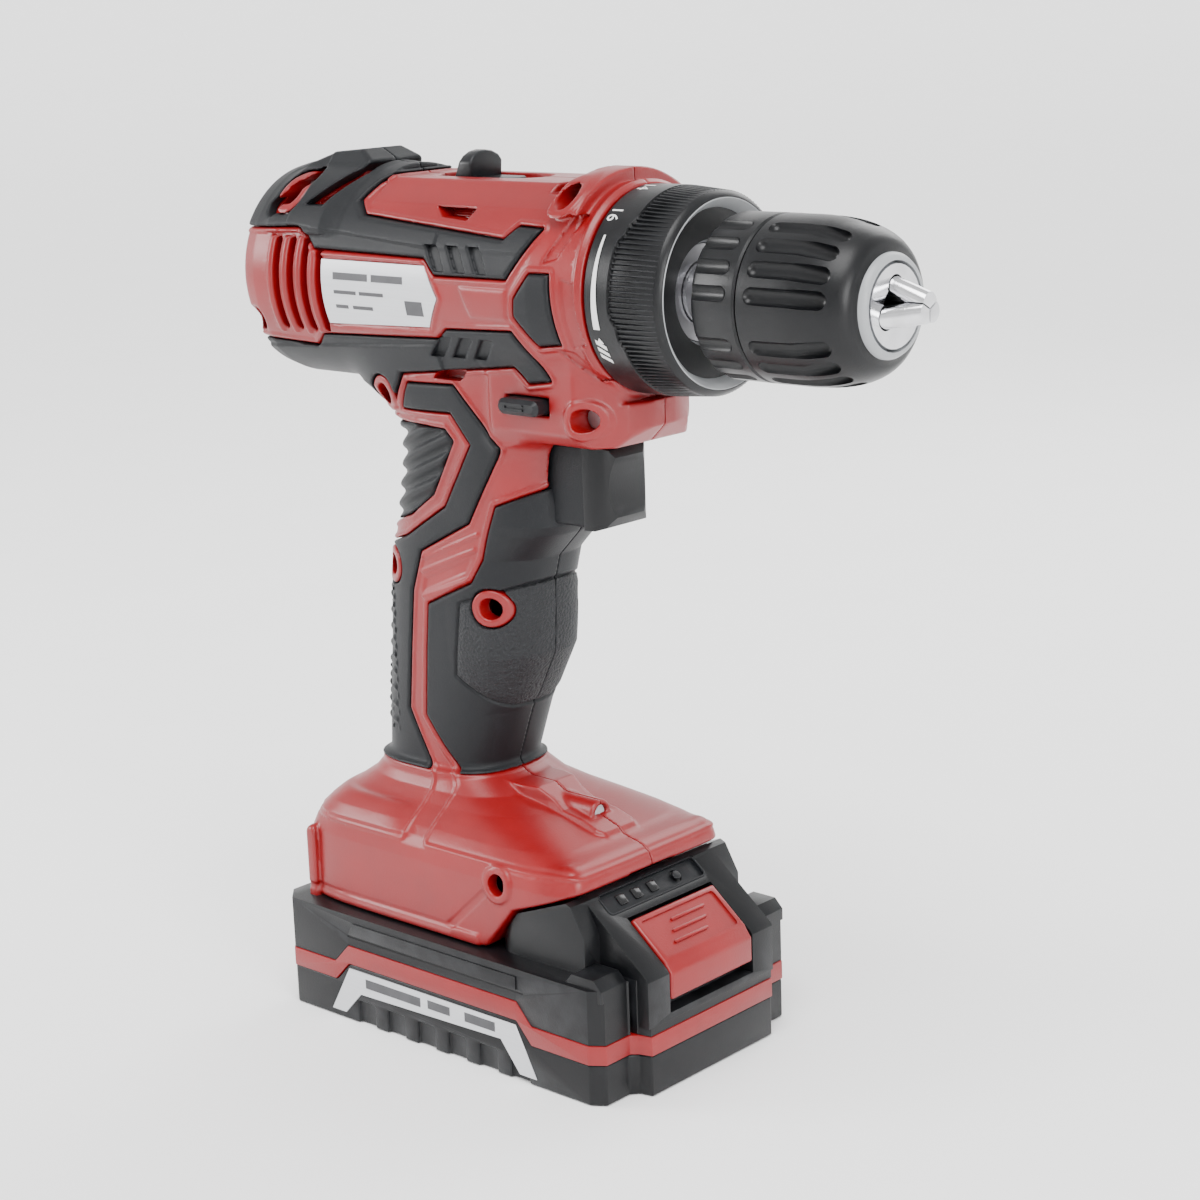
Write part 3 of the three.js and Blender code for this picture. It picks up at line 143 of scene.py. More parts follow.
# Small recesses of the skin: outline as (x, z), depth, rounding of its edge.
RECESSES = [
    ([(-5.9, 239.6), (9.4, 239.4), (7.6, 236.3), (-2.4, 237)], 4, 0.3),
    ([(-5.5, 195.2), (5.2, 195.4), (1.5, 192.4), (-8.3, 192.6)], 4, 0.3),
    ([(-43.4, 248.4), (-54, 238.6), (-48.6, 238.6), (-42.6, 246)], 3, 0.4),
    ([(45.1, 239.4), (48.6, 238.8), (43.4, 228.1), (39, 226.8)], 0.8, 0.5),
    ([(45.6, 223), (50, 222), (51.3, 206), (46.9, 205)], 0.5, 0.5),
    ([(41.5, 204.5), (46.5, 203.6), (52, 196), (49, 195.4)], 0.7, 0.5),
]
# Fine grooves across the red of the grip, each from one (x, z) to another.
GRIP_LINES = [((-19.5, 139.6), (2.2, 148.6)), ((-20.5, 135.4), (0.6, 144)), ((-20.9, 127.8), (-2.6, 135.2))]
REAR_VENTS = [-64.5, -58.5, -52.6, -46.5]
SCREW_NODES = ["screw_rear_top", "screw_front_top", "screw_throat", "screw_nose", "screw_grip_back", "screw_grip_mid",
               "screw_foot"]
SCREW_SPOTS = [((low.x + high.x) / 2, (low.z + high.z) / 2) for low, high in map(node_box, SCREW_NODES)]

# ---------- sculpted skins: distance fields, negative inside ----------
def outline(points, u, v):
    """Distance to a closed outline in the plane of u and v."""
    nearest = np.full(np.broadcast(u, v).shape, 1e9, np.float32)
    inside = np.zeros(nearest.shape, bool)
    for (au, av), (bu, bv) in zip(points, points[1:] + points[:1]):
        eu, ev = bu - au, bv - av
        along = np.clip(((u - au) * eu + (v - av) * ev) / (eu * eu + ev * ev), 0, 1)
        nearest = np.minimum(nearest, (u - au - along * eu) ** 2 + (v - av - along * ev) ** 2)
        inside ^= ((av > v) != (bv > v)) & (u < au + (v - av) * eu / (ev or 1e-9))
    return np.where(inside, -1, 1) * np.sqrt(nearest)


def join(a, b, r=0.01):
    """Union of two fields with a fillet of about r."""
    blend = np.maximum(r - np.abs(a - b), 0) / r
    return np.minimum(a, b) - blend * blend * r / 4


def meet(a, b, r=0.01):
    """What two fields share, with the new edge rounded by about r."""
    return -join(-a, -b, r)


def ridge(distance, width, height):
    """A rounded line of that half width and height, centred where distance is zero."""
    return height * np.clip(1 - (distance / width) ** 2, 0, 1)


def step_up(distance, width, height):
    """Rises by height where distance falls from +width to -width."""
    share = np.clip(0.5 - distance / (2 * width), 0, 1)
    return height * share * share * (3 - 2 * share)


def squared_ring(x, y, z, sections):
    """Field of a stack of level superellipses: height, rear x, front x, half width, squareness."""
    heights, *sizes = zip(*sections)
    back, front, half, power = (np.interp(z, heights, size).astype(np.float32) for size in sizes)
    reach = (front - back) / 2
    u = np.abs(x - (front + back) / 2) / reach + 1e-6
    v = np.abs(y) / half + 1e-6
    level = (u**power + v**power) ** (1 / power)
    slope = level ** (1 - power) * np.hypot(u ** (power - 1) / reach, v ** (power - 1) / half)
    return (level - 1) / slope


def hollowed(sections, drop):
    """The sections of a stack's hollow: a wall's thickness in, and lowered by drop."""
    return [(h - drop, b + WALL, f - WALL, w - WALL, p) for h, b, f, w, p in sections]


def slot_line(x, z, ends, r):
    """Field of a round-ended slot between two (x, z) points."""
    (ax, az), (bx, bz) = ends
    ex, ez = bx - ax, bz - az
    along = np.clip(((x - ax) * ex + (z - az) * ez) / (ex * ex + ez * ez), 0, 1)
    return np.hypot(x - ax - along * ex, z - az - along * ez) - r


def barrel(x, y, z):
    radius = np.interp(x, [BARREL_REAR, -79, -74, 35, BARREL_FRONT], [26, 29, BARREL_R, BARREL_R, 28.2])
    tube = np.hypot(y, z - AXIS) - radius
    tube = meet(meet(tube, BARREL_REAR - x, 6), x - BARREL_FRONT, 0.8)
    facet = outline([(-13, 40), (-13, PLATEAU), (-20.8, 22), (-24.5, 15), (-24.5, -9), (24.5, -9), (24.5, 15),
                     (20.8, 22), (13, PLATEAU), (13, 40)], y, z - AXIS)
    deck = meet(meet(facet, z - AXIS - PLATEAU, 0.4), meet(-31.5 - x, x - 47, 2), 0.4)
    flat = meet(tube, z - AXIS - PLATEAU - np.where(x < -33, 9, 0), 0.5)
    top = join(flat, deck, 0.6)
    tray = meet(slot_line(x, y, ((-15.6, 0), (8, 0)), 7.6), AXIS + SELECTOR_FLOOR - z, 0.5)
    groove = meet(np.abs(x - 33.5 - (16 - np.abs(y)) * 0.25) - 1.7, AXIS + 25.6 - z, 0.5)
    top = meet(meet(top, -tray, 0.5), -groove, 0.4)
    arch = meet(meet(np.hypot(y, z - AXIS) - 31.9, np.abs(x - 43) - 4.6, 0.6), AXIS + 21 - z, 0.6)
    return join(top, arch, 0.6)


def hump(x, y, z):
    """Raised rear crown that the top pad wraps, and the crowned block on it."""
    crown = np.hypot(y, z - AXIS) - np.interp(x, [-83, -78, -68, -46, -41], [22, 28.5, 31.4, 31.4, 30])
    crown = meet(meet(crown, -79.5 - x, 5), x + 40.5, 2.5)
    crown = meet(crown, AXIS + 13.5 - z, 1)
    block = meet(np.abs(y) - 8 - (AXIS + 33.4 - z) * 0.75, outline(
        [(-77, 240), (-72, 246.6), (-60, 251), (-49, 251.9), (-44.5, 249.6), (-43.5, 236), (-77, 236)], x, z), 0.9)
    return join(crown, block, 0.8)


def nose(x, y, z):
    side = outline([(14, 203), (14, 177), (50.5, 177), (55.6, 182), (56.2, 189.2), (52.2, 189.2), (52.2, 203)], x, z)
    plan = outline([(10, -23), (43, -23), (53.5, -12), (56.4, -4), (56.4, 4), (53.5, 12), (43, 23), (10, 23)], x, y)
    end = np.abs(y) - 23 - np.clip((z - 181) * 0.9, -4, 0)
    return meet(meet(side, plan, 1.2), end, 1.2)


def foot(x, y, z):
    stack = squared_ring(x, y, z, FOOT)
    shelf = squared_ring(x, y, z, FOOT_SHELF)
    stack = join(stack, meet(shelf, z - FOOT_SHELF[-1][0], 1.5), 0.8)
    stack = meet(meet(stack, FOOT_BOTTOM - z, 1), z - 75, 1)
    lip = squared_ring(x, y, z, [(30, -66.4, 46.6, 36.4, 6), (80, -66.4, 46.6, 36.4, 6)])
    lip = meet(meet(lip, z - FOOT_BOTTOM - 3.2, 1), FOOT_BOTTOM - z, 0.5)
    side = np.abs(y)
    deck = meet(outline(DECK_SIDE, x, z), outline(DECK_PLAN, x, y) + np.clip((z - 58) * 0.35, 0, 4), 0.6)
    lamp = np.hypot(y - LAMP_Y, z - LAMP_Z) - 4.1
    lamp = meet(meet(lamp, x - LAMP_X - 0.6, 0.7), 8 - x, 1)
    lamp = meet(lamp, -np.maximum(np.hypot(y - LAMP_Y, z - LAMP_Z) - 2.5, LAMP_X - 2 - x), 0.5)
    collar = squared_ring(x, y, z, [(60, -50.6, -3.2, 19.7, 3), (80, -50.6, -3.2, 19.7, 3)])
    collar = meet(collar, np.abs(z - 74.4) - 1.4, 1.6)
    rib = meet(meet(np.abs(x + 58.5) - 1.8, side - 35.9, 1), z - 55.5, 2.5)
    whole = join(join(stack, deck, 1.2), join(lamp, collar, 0.1), 0.8)
    whole = join(whole, meet(lip, x - 12, 1), 0.8)
    whole = join(whole, np.maximum(rib, 30 - side), 0.8)
    bullnose = meet(meet(np.hypot(x - 39.8, z - 55.2) - 5.9, side - 31, 5), 33 - x, 1)
    whole = join(whole, bullnose, 2.5)
    return meet(whole, -outline(STEP_LINE, x, z), 1)


def grip(x, y, z):
    column = squared_ring(x, y, z, GRIP)
    swell = 0.9 * np.exp(-(((z - 118) / 17) ** 2)) * np.clip((x + 12) / 14, 0, 1)
    return meet(meet(column - swell, 62 - z), z - 203)


def outer_form(x, y, z):
    """The whole housing's bare outside."""
    top = join(barrel(x, y, z), hump(x, y, z), 1.2)
    front = join(top, nose(x, y, z), 2)
    handle = join(front, grip(x, y, z), 7)
    return join(handle, foot(x, y, z), 2.5)


def wells(x, z):
    """Round screw wells in both halves, and the raised rims round them."""
    holes, rims = np.float32(99), np.float32(99)
    for sx, sz in SCREW_SPOTS:
        reach = np.hypot(x - sx, z - sz)
        holes = np.minimum(holes, reach - 3.1)
        rims = np.minimum(rims, reach - 5.4)
    return holes, rims


def open_shapes(x, y, z, outer):
    """Vents, screw wells, and the openings that moving pieces work in."""
    side = np.abs(y)
    cuts = [(np.maximum(wells(x, z)[0], 7 - side), 0.5)]
    for vent in REAR_VENTS:
        lean = vent + 0.03 * (z - 216)
        cuts.append((np.maximum(slot_line(x - lean, z, ((0, 204.5), (0, 228.5)), 1.25), -outer - 5), 0.7))
    cuts.append((np.maximum(np.hypot(x + 77.5, z - 205.4) - 3.6, 12 - side), 0.8))
    cuts.append((np.maximum(slot_line(x, z, CROWN_SLOT, 1.9), -outer - 4.5), 0.4))
    cuts += [(np.maximum(outline(points, x, z), -outer - depth), r) for points, depth, r in RECESSES]
    for (x0, x1), (y0, y1), (z0, z1) in SQUARE_ROOMS:
        cuts.append((np.maximum(np.maximum(np.maximum(x0 - x, x - x1), np.maximum(y0 - y, y - y1)),
                                np.maximum(z0 - z, z - z1)), 0.8))
    around = np.hypot(y, z - AXIS)
    for x0, x1, r in ROUND_ROOMS:
        cuts.append((np.maximum(np.maximum(x0 - x, x - x1), around - r), 0.4))
    handle = squared_ring(x, y, z, hollowed(GRIP, 0))
    cuts.append((np.maximum(np.maximum(handle, 66 - z), z - 188), 0.5))
    hollow = squared_ring(x, y, z, hollowed(FOOT, 3.4))
    under = outline([(sx, sz + 3.2) for sx, sz in STEP_LINE], x, z)
    hollow = np.maximum(np.maximum(hollow, 45.5 - z), np.maximum(z - 64, -under))
    cuts.append((hollow, 0.5))
    return cuts


def shell(x, y, z, side):
    """One half of the red housing, with its pad pockets, lips and openings."""
    outer = outer_form(x, y, z)
    skin = outer
    pockets = np.float32(99)
    for name, points in SIDE_PADS.items():
        edge = outline(points, x, z)
        if name == "back":
            band = np.maximum(outline(CHEVRON, x, z), -outline(THUMB_PAD, x, z))
            edge = np.maximum(edge, -band)
        skin = skin - ridge(edge - 1.25, 0.75, 0.45)
        pockets = np.minimum(pockets, edge - 0.35)
    plate = outline(PLATE, x, z)
    plate = np.maximum(plate, np.where(np.abs(y) > 15, -9, 9))
    skin = skin - ridge(plate - 1.3, 0.8, 0.35)
    for vent in REAR_VENTS:
        lean = vent + 0.03 * (z - 216)
        skin = skin - ridge(x - lean + 2.3, 1.2, 0.7) * (np.abs(z - 216) < 14)
    for ends in GRIP_LINES:
        skin = skin - ridge(slot_line(x, z, ends, 0), 0.9, 0.5)
    skirt = outline([(-60, 37.4), (-1.8, 37.4), (13.4, 51), (15.6, 50), (0, 35.6), (-60, 35.6)], x, z)
    skin = skin + step_up(skirt, 0.4, 0.35) * (z < 60)
    bars = outline([(-19.8, 133.4), (-1, 141.4), (-3.4, 137.2), (-20.8, 129.6)], x, z)
    skin = skin + step_up(bars, 0.5, 0.5)
    skin = skin - step_up(outline([(10, 219.5), (27.5, 219.5), (26.8, 211.5), (13.5, 211.5)], x, z), 0.7, 0.5)
    skin = skin - ridge(x - 50.6, 0.9, 0.5) * (z > 195)
    rims = wells(x, z)[1]
    skin = skin - np.where(rims < 1.2, step_up(rims, 0.6, 0.8), 0)
    body = meet(skin, -np.maximum(np.maximum(np.maximum(pockets, -outer - 2), -rims), 75.6 - z), 0.35)
    body = meet(body, -np.maximum(plate - 0.15, -outer - 0.6), 0.3)
    for hole, r in open_shapes(x, y, z, outer):
        body = meet(body, -hole, r)
    return np.maximum(body, SEAM - side * y)


def pad(name):
    """Makes the field of one soft pad."""
    points = SIDE_PADS.get(name, THUMB_PAD)

    def field(x, y, z, side):
        outer = outer_form(x, y, z)
        edge = outline(points, x, z)
        rise = 0.55
        if name == "back":
            edge = np.maximum(edge, -outline(CHEVRON, x, z))
            dots = np.minimum(np.abs((z - 0.5 * np.round(x / 3.2) * 5) % 5 - 2.5), 9)
            dots = np.hypot(dots, np.abs((y + 100) % 3.4 - 1.7))
            rise = rise + np.where((x < -36) & (z < 129) & (z > 84), ridge(dots, 1.1, 0.55), 0)
        if name == "thumb":
            rise = rise - 0.65 + 0.75 * np.cos((z - 0.42 * x) * 2 * math.pi / 5.4)
        if name == "top":
            crease = (z - 232.9) + (x + 54.9) * 0.0719
            rise = rise + np.where((x > -60) & (x < 0), step_up(-crease, 0.5, 0.7), step_up(-(z - 229), 1, 0.4))
        if name == "under":
            crease = (z - 199.4) - (x + 44) * 0.075
            rise = rise + np.where(x < -3, step_up(crease, 0.5, 0.6), 0)
        if name == "palm":
            inset = outline(PALM_INSET, x, z)
            rise = rise - ridge(inset, 0.55, 0.7) + step_up(inset + 1.5, 1.5, 0.5)
        body = meet(outer - rise, edge, 1.1)
        if name in ("top", "under"):
            for slot in UPPER_SLOTS + LOWER_SLOTS:
                body = meet(body, -np.maximum(outline(slot, x, z), -outer - 0.45), 0.5)
            body = meet(body, -slot_line(x, z, CROWN_SLOT, 2.6), 0.6)
            window = outline([(-42.6, 250), (-55.6, 238.6), (-48.2, 238.6), (-41.6, 247)], x, z)
            body = meet(body, -window, 0.6)
        rims = wells(x, z)[1]
        body = meet(body, -(rims - 0.5), 0.5)
        body = np.maximum(meet(body, -outer - 1.9, 0.1), 75.8 - z)
        return np.maximum(body, SEAM - side * y)

    return field


def skin_mesh(name, field, low, high, side, step=STEP):
    """The surface of a field as a mesh: one point in each cell that it crosses, drawn onto the surface."""
    step = step * 1
    axes = [np.arange(a, b + step, step, dtype=np.float32) for a, b in zip(low, high)]
    x, y, z = axes[0][:, None, None], axes[1][None, :, None], axes[2][None, None, :]
    values = np.broadcast_to(field(x, y, z, side), [len(a) for a in axes]).astype(np.float32)
    inside = values < 0
    count = np.zeros([n - 1 for n in inside.shape], np.int8)
    corners = [(i, j, k) for i in (0, 1) for j in (0, 1) for k in (0, 1)]
    shape = inside.shape

    def corner(array, c):
        return array[c[0]:shape[0] - 1 + c[0], c[1]:shape[1] - 1 + c[1], c[2]:shape[2] - 1 + c[2]]

    for c in corners:
        count += corner(inside, c)
    cells = np.argwhere((count > 0) & (count < 8))
    total, crossings = np.zeros((len(cells), 3)), np.zeros(len(cells))
    for a in corners:
        for axis in range(3):
            if a[axis]:
                continue
            b = tuple(v + (k == axis) for k, v in enumerate(a))
            va = values[tuple((cells + a).T)]
            vb = values[tuple((cells + b).T)]
            hit = (va < 0) != (vb < 0)
            share = np.where(hit, va / np.where(hit, va - vb, 1), 0)
            point = np.array(a, float)[None, :] + share[:, None] * np.eye(3)[axis][None, :]
            total += point * hit[:, None]
            crossings += hit
    points = np.array(low) + step * (cells + total / crossings[:, None])
    index = np.full(count.shape, -1, np.int32)
    index[tuple(cells.T)] = np.arange(len(cells))
    quads = []
    for axis in range(3):
        u, v = [(1, 2), (2, 0), (0, 1)][axis]
        here = [slice(1, -1)] * 3
        here[axis] = slice(0, -1)
        there = list(here)
        there[axis] = slice(1, None)
        first, second = inside[tuple(here)], inside[tuple(there)]
        crossing = np.argwhere(first != second)
        flipped = second[tuple(crossing.T)]
        crossing[:, u] += 1
        crossing[:, v] += 1
        ring = []
        for du, dv in ((1, 1), (0, 1), (0, 0), (1, 0)):
            place = crossing.copy()
            place[:, u] -= du
            place[:, v] -= dv
            ring.append(index[tuple(place.T)])
        ring = np.stack(ring, 1)
        ring[flipped] = ring[flipped][:, ::-1]
        quads.append(ring)
    quads = np.concatenate(quads)

    slope = np.zeros((len(cells), 3), np.float32)
    for c in corners:
        slope += values[tuple((cells + c).T)][:, None] * (2 * np.array(c, np.float32) - 1)
    slope /= 4 * step
    points = points.astype(np.float32)
    for _ in range(2):
        here = field(points[:, 0], points[:, 1], points[:, 2], side)
        move = -here[:, None] * slope / np.maximum((slope**2).sum(1, keepdims=True), 0.3)
        length = np.linalg.norm(move, axis=1, keepdims=True)
        points = points + move * np.minimum(1, 0.3 * step / np.maximum(length, 1e-9))
    mesh = bpy.data.meshes.new(name)
    mesh.from_pydata((points * MM).tolist(), [], quads.tolist())
    mesh.update()
    piece = bpy.data.objects.new(name, mesh)
    to_scene(piece)
    select_only(piece)
    bpy.ops.object.mode_set(mode="EDIT")
    bpy.ops.mesh.select_all(action="SELECT")
    bpy.ops.mesh.delete_loose()
    bpy.ops.object.mode_set(mode="OBJECT")
    return piece


# ---------- modelling by hand ----------
def to_scene(thing):
    bpy.context.scene.collection.objects.link(thing)


def select_only(*pieces):
    bpy.ops.object.select_all(action="DESELECT")
    for piece in pieces:
        piece.select_set(True)
    bpy.context.view_layer.objects.active = pieces[0]


def edit(piece, *steps):
    """Runs edit-mode operators on all of a piece, given as (operator, options)."""
    select_only(piece)
    bpy.ops.object.mode_set(mode="EDIT")
    bpy.ops.mesh.select_all(action="SELECT")
    for operator, options in steps:
        operator(**options)
    bpy.ops.object.mode_set(mode="OBJECT")
    return piece


ALL = (bpy.ops.mesh.select_all, {"action": "SELECT"})
OUTWARDS = (bpy.ops.mesh.normals_make_consistent, {"inside": False})


def merged(distance):
    """The edit step that merges points closer than a distance, in metres."""
    return bpy.ops.mesh.remove_doubles, {"threshold": distance}


def modify(piece, kind, **settings):
    """Adds a modifier and applies it."""
    modifier = piece.modifiers.new(kind.lower(), kind)
    for key, value in settings.items():
        setattr(modifier, key, value)
    select_only(piece)
    bpy.ops.object.modifier_apply(modifier=modifier.name)
    return piece


PLANES = {
    "xz": lambda u, v, w: (u * MM, w * MM, v * MM),
    "xy": lambda u, v, w: (u * MM, v * MM, w * MM),
    "yz": lambda u, v, w: (w * MM, u * MM, v * MM),
    "slope": lambda u, v, w: (on_slope(v, w)[0] * MM, u * MM, on_slope(v, w)[1] * MM),
}


def rim(name, points, plane, level, fill="NGON"):
    """A disc or ring whose rim is drawn out to an outline."""
    bpy.ops.object.select_all(action="DESELECT")
    bpy.ops.mesh.primitive_circle_add(vertices=len(points), radius=MM, fill_type=fill)
    piece = bpy.context.object
    piece.name = piece.data.name = name
    for vertex, (u, v) in zip(piece.data.vertices, points):
        vertex.co = PLANES[plane](u, v, level)
    return piece


def slab(name, points, plane, low, high):
    """An outline extruded from one level to another."""
    piece = rim(name, points, plane, low)
    travel = Vector(PLANES[plane](0, 0, high)) - Vector(PLANES[plane](0, 0, low))
    return edit(
        piece,
        (bpy.ops.mesh.extrude_region_move, {"TRANSFORM_OT_translate": {"value": travel}}),
        ALL,
        OUTWARDS,
    )


def turned(name, profile, steps=128):
    """A closed profile of (x, radius) spun round the spindle axis."""
    piece = rim(name, [(x, AXIS + r) for x, r in profile], "xz", 0, "NOTHING")
    return edit(
        piece,
        (bpy.ops.mesh.spin, {"steps": steps, "angle": 2 * math.pi, "center": (0, 0, AXIS * MM), "axis": (1, 0, 0)}),
        ALL,
        merged(1e-6),
        OUTWARDS,
    )


def box(name, x0, x1, y0, y1, z0, z1):
    return slab(name, [(x0, y0), (x1, y0), (x1, y1), (x0, y1)], "xy", z0, z1)


def boolean(piece, operation, tools):
    for tool in tools:
        modify(piece, "BOOLEAN", operation=operation, solver="EXACT", object=tool)
        bpy.data.objects.remove(tool)
    return piece


def cut(piece, *tools):
    return boolean(piece, "DIFFERENCE", tools)


def shared(piece, *tools):
    return boolean(piece, "INTERSECT", tools)


def fused(piece, *tools):
    return boolean(piece, "UNION", tools)


def gathered(name, pieces):
    """Several loose pieces as one object."""
    select_only(*pieces)
    if len(pieces) > 1:
        bpy.ops.object.join()
    pieces[0].name = name
    return pieces[0]


def softened(piece, width, segments=2, angle=30):
    """Rounds the sharp edges and shades the faces."""
    edit(piece, merged(2e-6), (bpy.ops.mesh.dissolve_limited, {"angle_limit": 0.002}))
    modify(piece, "BEVEL", width=width * MM, segments=segments, limit_method="ANGLE", angle_limit=math.radians(angle),
           miter_outer="MITER_ARC", harden_normals=False)
    return shaded(piece)


def shaded(piece, angle=35):
    select_only(piece)
    bpy.ops.object.shade_smooth_by_angle(angle=math.radians(angle))
    return piece


def round_line(name, start, end, r, sides=20):
    """A round-ended bar between two points, such as a flute cutter."""
    start, end = Vector(start), Vector(end)
    middle, run = (start + end) / 2, end - start
    bpy.ops.object.select_all(action="DESELECT")
    bpy.ops.mesh.primitive_uv_sphere_add(segments=sides, ring_count=sides // 2 + 1, radius=r * MM, location=(0, 0, 0))
    piece = bpy.context.object
    piece.name = name
    for vertex in piece.data.vertices:
        vertex.co.z += math.copysign(run.length / 2 * MM, vertex.co.z + 1e-9)
    piece.data.transform(Matrix.Translation(middle * MM) @ run.to_track_quat("Z", "Y").to_matrix().to_4x4())
    return piece


def turned_copies(piece, count, first=0.0, skip=0):
    """Copies of a piece spaced evenly round the spindle axis, joined; every skip-th place is left out."""
    copies = []
    centre = Matrix.Translation((0, 0, AXIS * MM))
    for k in range(count):
        if skip and k % skip == 0:
            continue
        copy = piece.copy()
        copy.data = piece.data.copy()
        to_scene(copy)
        copy.data.transform(centre @ Matrix.Rotation(first + 2 * math.pi * k / count, 4, "X") @ centre.inverted())
        copies.append(copy)
    bpy.data.objects.remove(piece)
    return gathered("copies", copies)


# ---------- finishes ----------
def maths(operation, swapped=False):
    """An operator method that adds a Math node; swapped is its reflected form."""

    def method(self, other):
        a, b = (other, self) if swapped else (self, other)
        return self.finish.node("ShaderNodeMath", {"operation": operation}, {0: a, 1: b})

    return method


class Link:
    """A shader socket that arithmetic adds Math nodes to."""

    def __init__(self, finish, socket):
        self.finish, self.socket = finish, socket

    __add__, __radd__ = maths("ADD"), maths("ADD", True)
    __sub__, __rsub__ = maths("SUBTRACT"), maths("SUBTRACT", True)
    __mul__, __rmul__ = maths("MULTIPLY"), maths("MULTIPLY", True)


class Finish:
    """A material under construction round one Principled shader."""

    def __init__(self, name, **constants):
        self.material = bpy.data.materials.new(name)
        self.material.use_nodes = True
        self.tree = self.material.node_tree
        self.shader = self.tree.nodes["Principled BSDF"]
        for key, value in constants.items():
            self.shader.inputs[key.replace("_", " ").title().replace("Ior", "IOR")].default_value = value
        self.place = self.node("ShaderNodeTexCoord", {}, {}, "Object")

    def node(self, kind, settings, inputs, output=0):
        made = self.tree.nodes.new(kind)
        for key, value in settings.items():
            setattr(made, key, value)
        for key, value in inputs.items():
            self.feed(made.inputs[key], value)
        return Link(self, made.outputs[output])

    def feed(self, socket, value):
        if isinstance(value, Link):
            self.tree.links.new(value.socket, socket)
        else:
            socket.default_value = value

    def noise(self, size, detail=2.0, stretch=None):
        """Soft noise whose lumps are about size millimetres."""
        place = self.place
        if stretch:
            place = self.node("ShaderNodeMapping", {}, {"Vector": place, "Scale": stretch})
        return self.node("ShaderNodeTexNoise", {}, {"Vector": place, "Scale": 1 / (size * MM), "Detail": detail})

    def ramp(self, value, low, high):
        """Value spread so that low becomes 0 and high becomes 1."""
        return self.node("ShaderNodeMapRange", {}, {"Value": value, "From Min": low, "From Max": high})

    def mix(self, share, first, second):
        return self.node("ShaderNodeMix", {"data_type": "RGBA"}, {0: share, 6: first, 7: second}, 2)

    def done(self, colour, roughness, height=None, depth=0.1):
        self.feed(self.shader.inputs["Base Color"], colour)
        self.feed(self.shader.inputs["Roughness"], roughness)
        if height is not None:
            bump = self.node("ShaderNodeBump", {}, {"Height": height, "Distance": depth * MM, "Strength": 0.6})
            self.feed(self.shader.inputs["Normal"], bump)
        return self.material


def moulded(name, colour, roughness, grain, depth, worn=1.35, **constants):
    """Moulded plastic or rubber: fine grain, faint cloudiness, edges rubbed lighter."""
    f = Finish(name, **constants)
    grain_field = f.noise(grain, 3)
    cloud = f.noise(14, 3)
    edges = f.node("ShaderNodeNewGeometry", {}, {}, "Pointiness")
    rub = f.ramp(edges, 0.53, 0.62) * f.ramp(f.noise(5, 4), 0.35, 0.7)
    dark = [c * 0.86 for c in colour] + [1]
    pale = [min(1, c * worn + 0.012) for c in colour] + [1]
    base = f.mix(f.ramp(cloud, 0.3, 0.7), dark, [*colour, 1])
    return f.done(f.mix(rub * 0.6, base, pale), roughness + (cloud - 0.5) * 0.12 + (grain_field - 0.5) * 0.08,
                  grain_field, depth)


def turned_metal(name, colour, roughness, depth=0.03):
    """Metal with fine lines round the spindle and faint stains."""
    f = Finish(name, metallic=1.0)
    lines = f.noise(0.25, 2, (1, 0.02, 0.02))
    stain = f.noise(6, 4)
    base = f.mix(f.ramp(stain, 0.35, 0.75), [*colour, 1], [c * 0.8 for c in colour] + [1])
    return f.done(base, roughness + (lines - 0.5) * 0.12 + (stain - 0.5) * 0.1, lines, depth)


def printed_label(name):
    """Brushed silver film."""
    f = Finish(name, metallic=0.35)
    grain = f.noise(0.5, 2, (0.04, 1, 1))
    return f.done(f.mix(grain, [0.5, 0.51, 0.53, 1], [0.62, 0.63, 0.65, 1]), 0.34 + grain * 0.1, grain, 0.01)


def clear_lens(name):
    f = Finish(name, ior=1.45, transmission_weight=0.6)
    cloud = f.noise(1.5, 2)
    return f.done(f.mix(cloud, [0.9, 0.93, 0.95, 1], [0.8, 0.84, 0.88, 1]), 0.12 + cloud * 0.1)


RED = moulded("red_satin", (0.22, 0.0012, 0.003), 0.36, 0.55, 0.06, 1.35, specular_ior_level=0.55)
SOFT = moulded("soft_grip", (0.006, 0.0068, 0.0084), 0.5, 0.5, 0.08, 3.0, specular_ior_level=0.26)
GRAINY = moulded("grainy_grip", (0.0095, 0.0105, 0.0125), 0.6, 0.9, 1.6, 3.0, specular_ior_level=0.35)
BLACK = moulded("black_moulding", (0.0034, 0.0037, 0.0046), 0.34, 0.45, 0.05, 3.2, specular_ior_level=0.3)
GLOSS = moulded("black_button", (0.0055, 0.006, 0.0075), 0.36, 0.6, 0.02, 2.4, specular_ior_level=0.3)
DARK = moulded("dark_window", (0.003, 0.003, 0.0035), 0.15, 0.6, 0.01, 1.5)
WHITE = moulded("white_print", (0.78, 0.78, 0.77), 0.45, 0.6, 0.01, 1.0)
# Pale grey: the chuck's nose rim, and painted reflection on the torque ring's front lip, which stands in for the white
# light reflected in the black ring's front face.
GREY_AND_REFLECTION = moulded("grey_and_reflection", (0.3, 0.31, 0.32), 0.36, 0.5, 0.03, 1.2)
PRINT = moulded("grey_print", (0.05, 0.05, 0.055), 0.5, 0.5, 0.01, 1.2)
LABEL = printed_label("silver_label")
CHROME = turned_metal("jaw_chrome", (0.78, 0.78, 0.8), 0.14)
STEEL = turned_metal("screw_steel", (0.5, 0.5, 0.52), 0.32)
CAST = turned_metal("cast_case", (0.4, 0.41, 0.43), 0.5)
COPPER = turned_metal("rotor_copper", (0.62, 0.32, 0.2), 0.35)
BRASS = turned_metal("terminal_brass", (0.7, 0.5, 0.22), 0.3)
CELL_BLUE = moulded("cell_wrap", (0.03, 0.16, 0.35), 0.35, 0.8, 0.02)
LEAD_RED = moulded("lead_red", (0.4, 0.02, 0.02), 0.45, 0.6, 0.02)
LENS = clear_lens("lamp_lens")


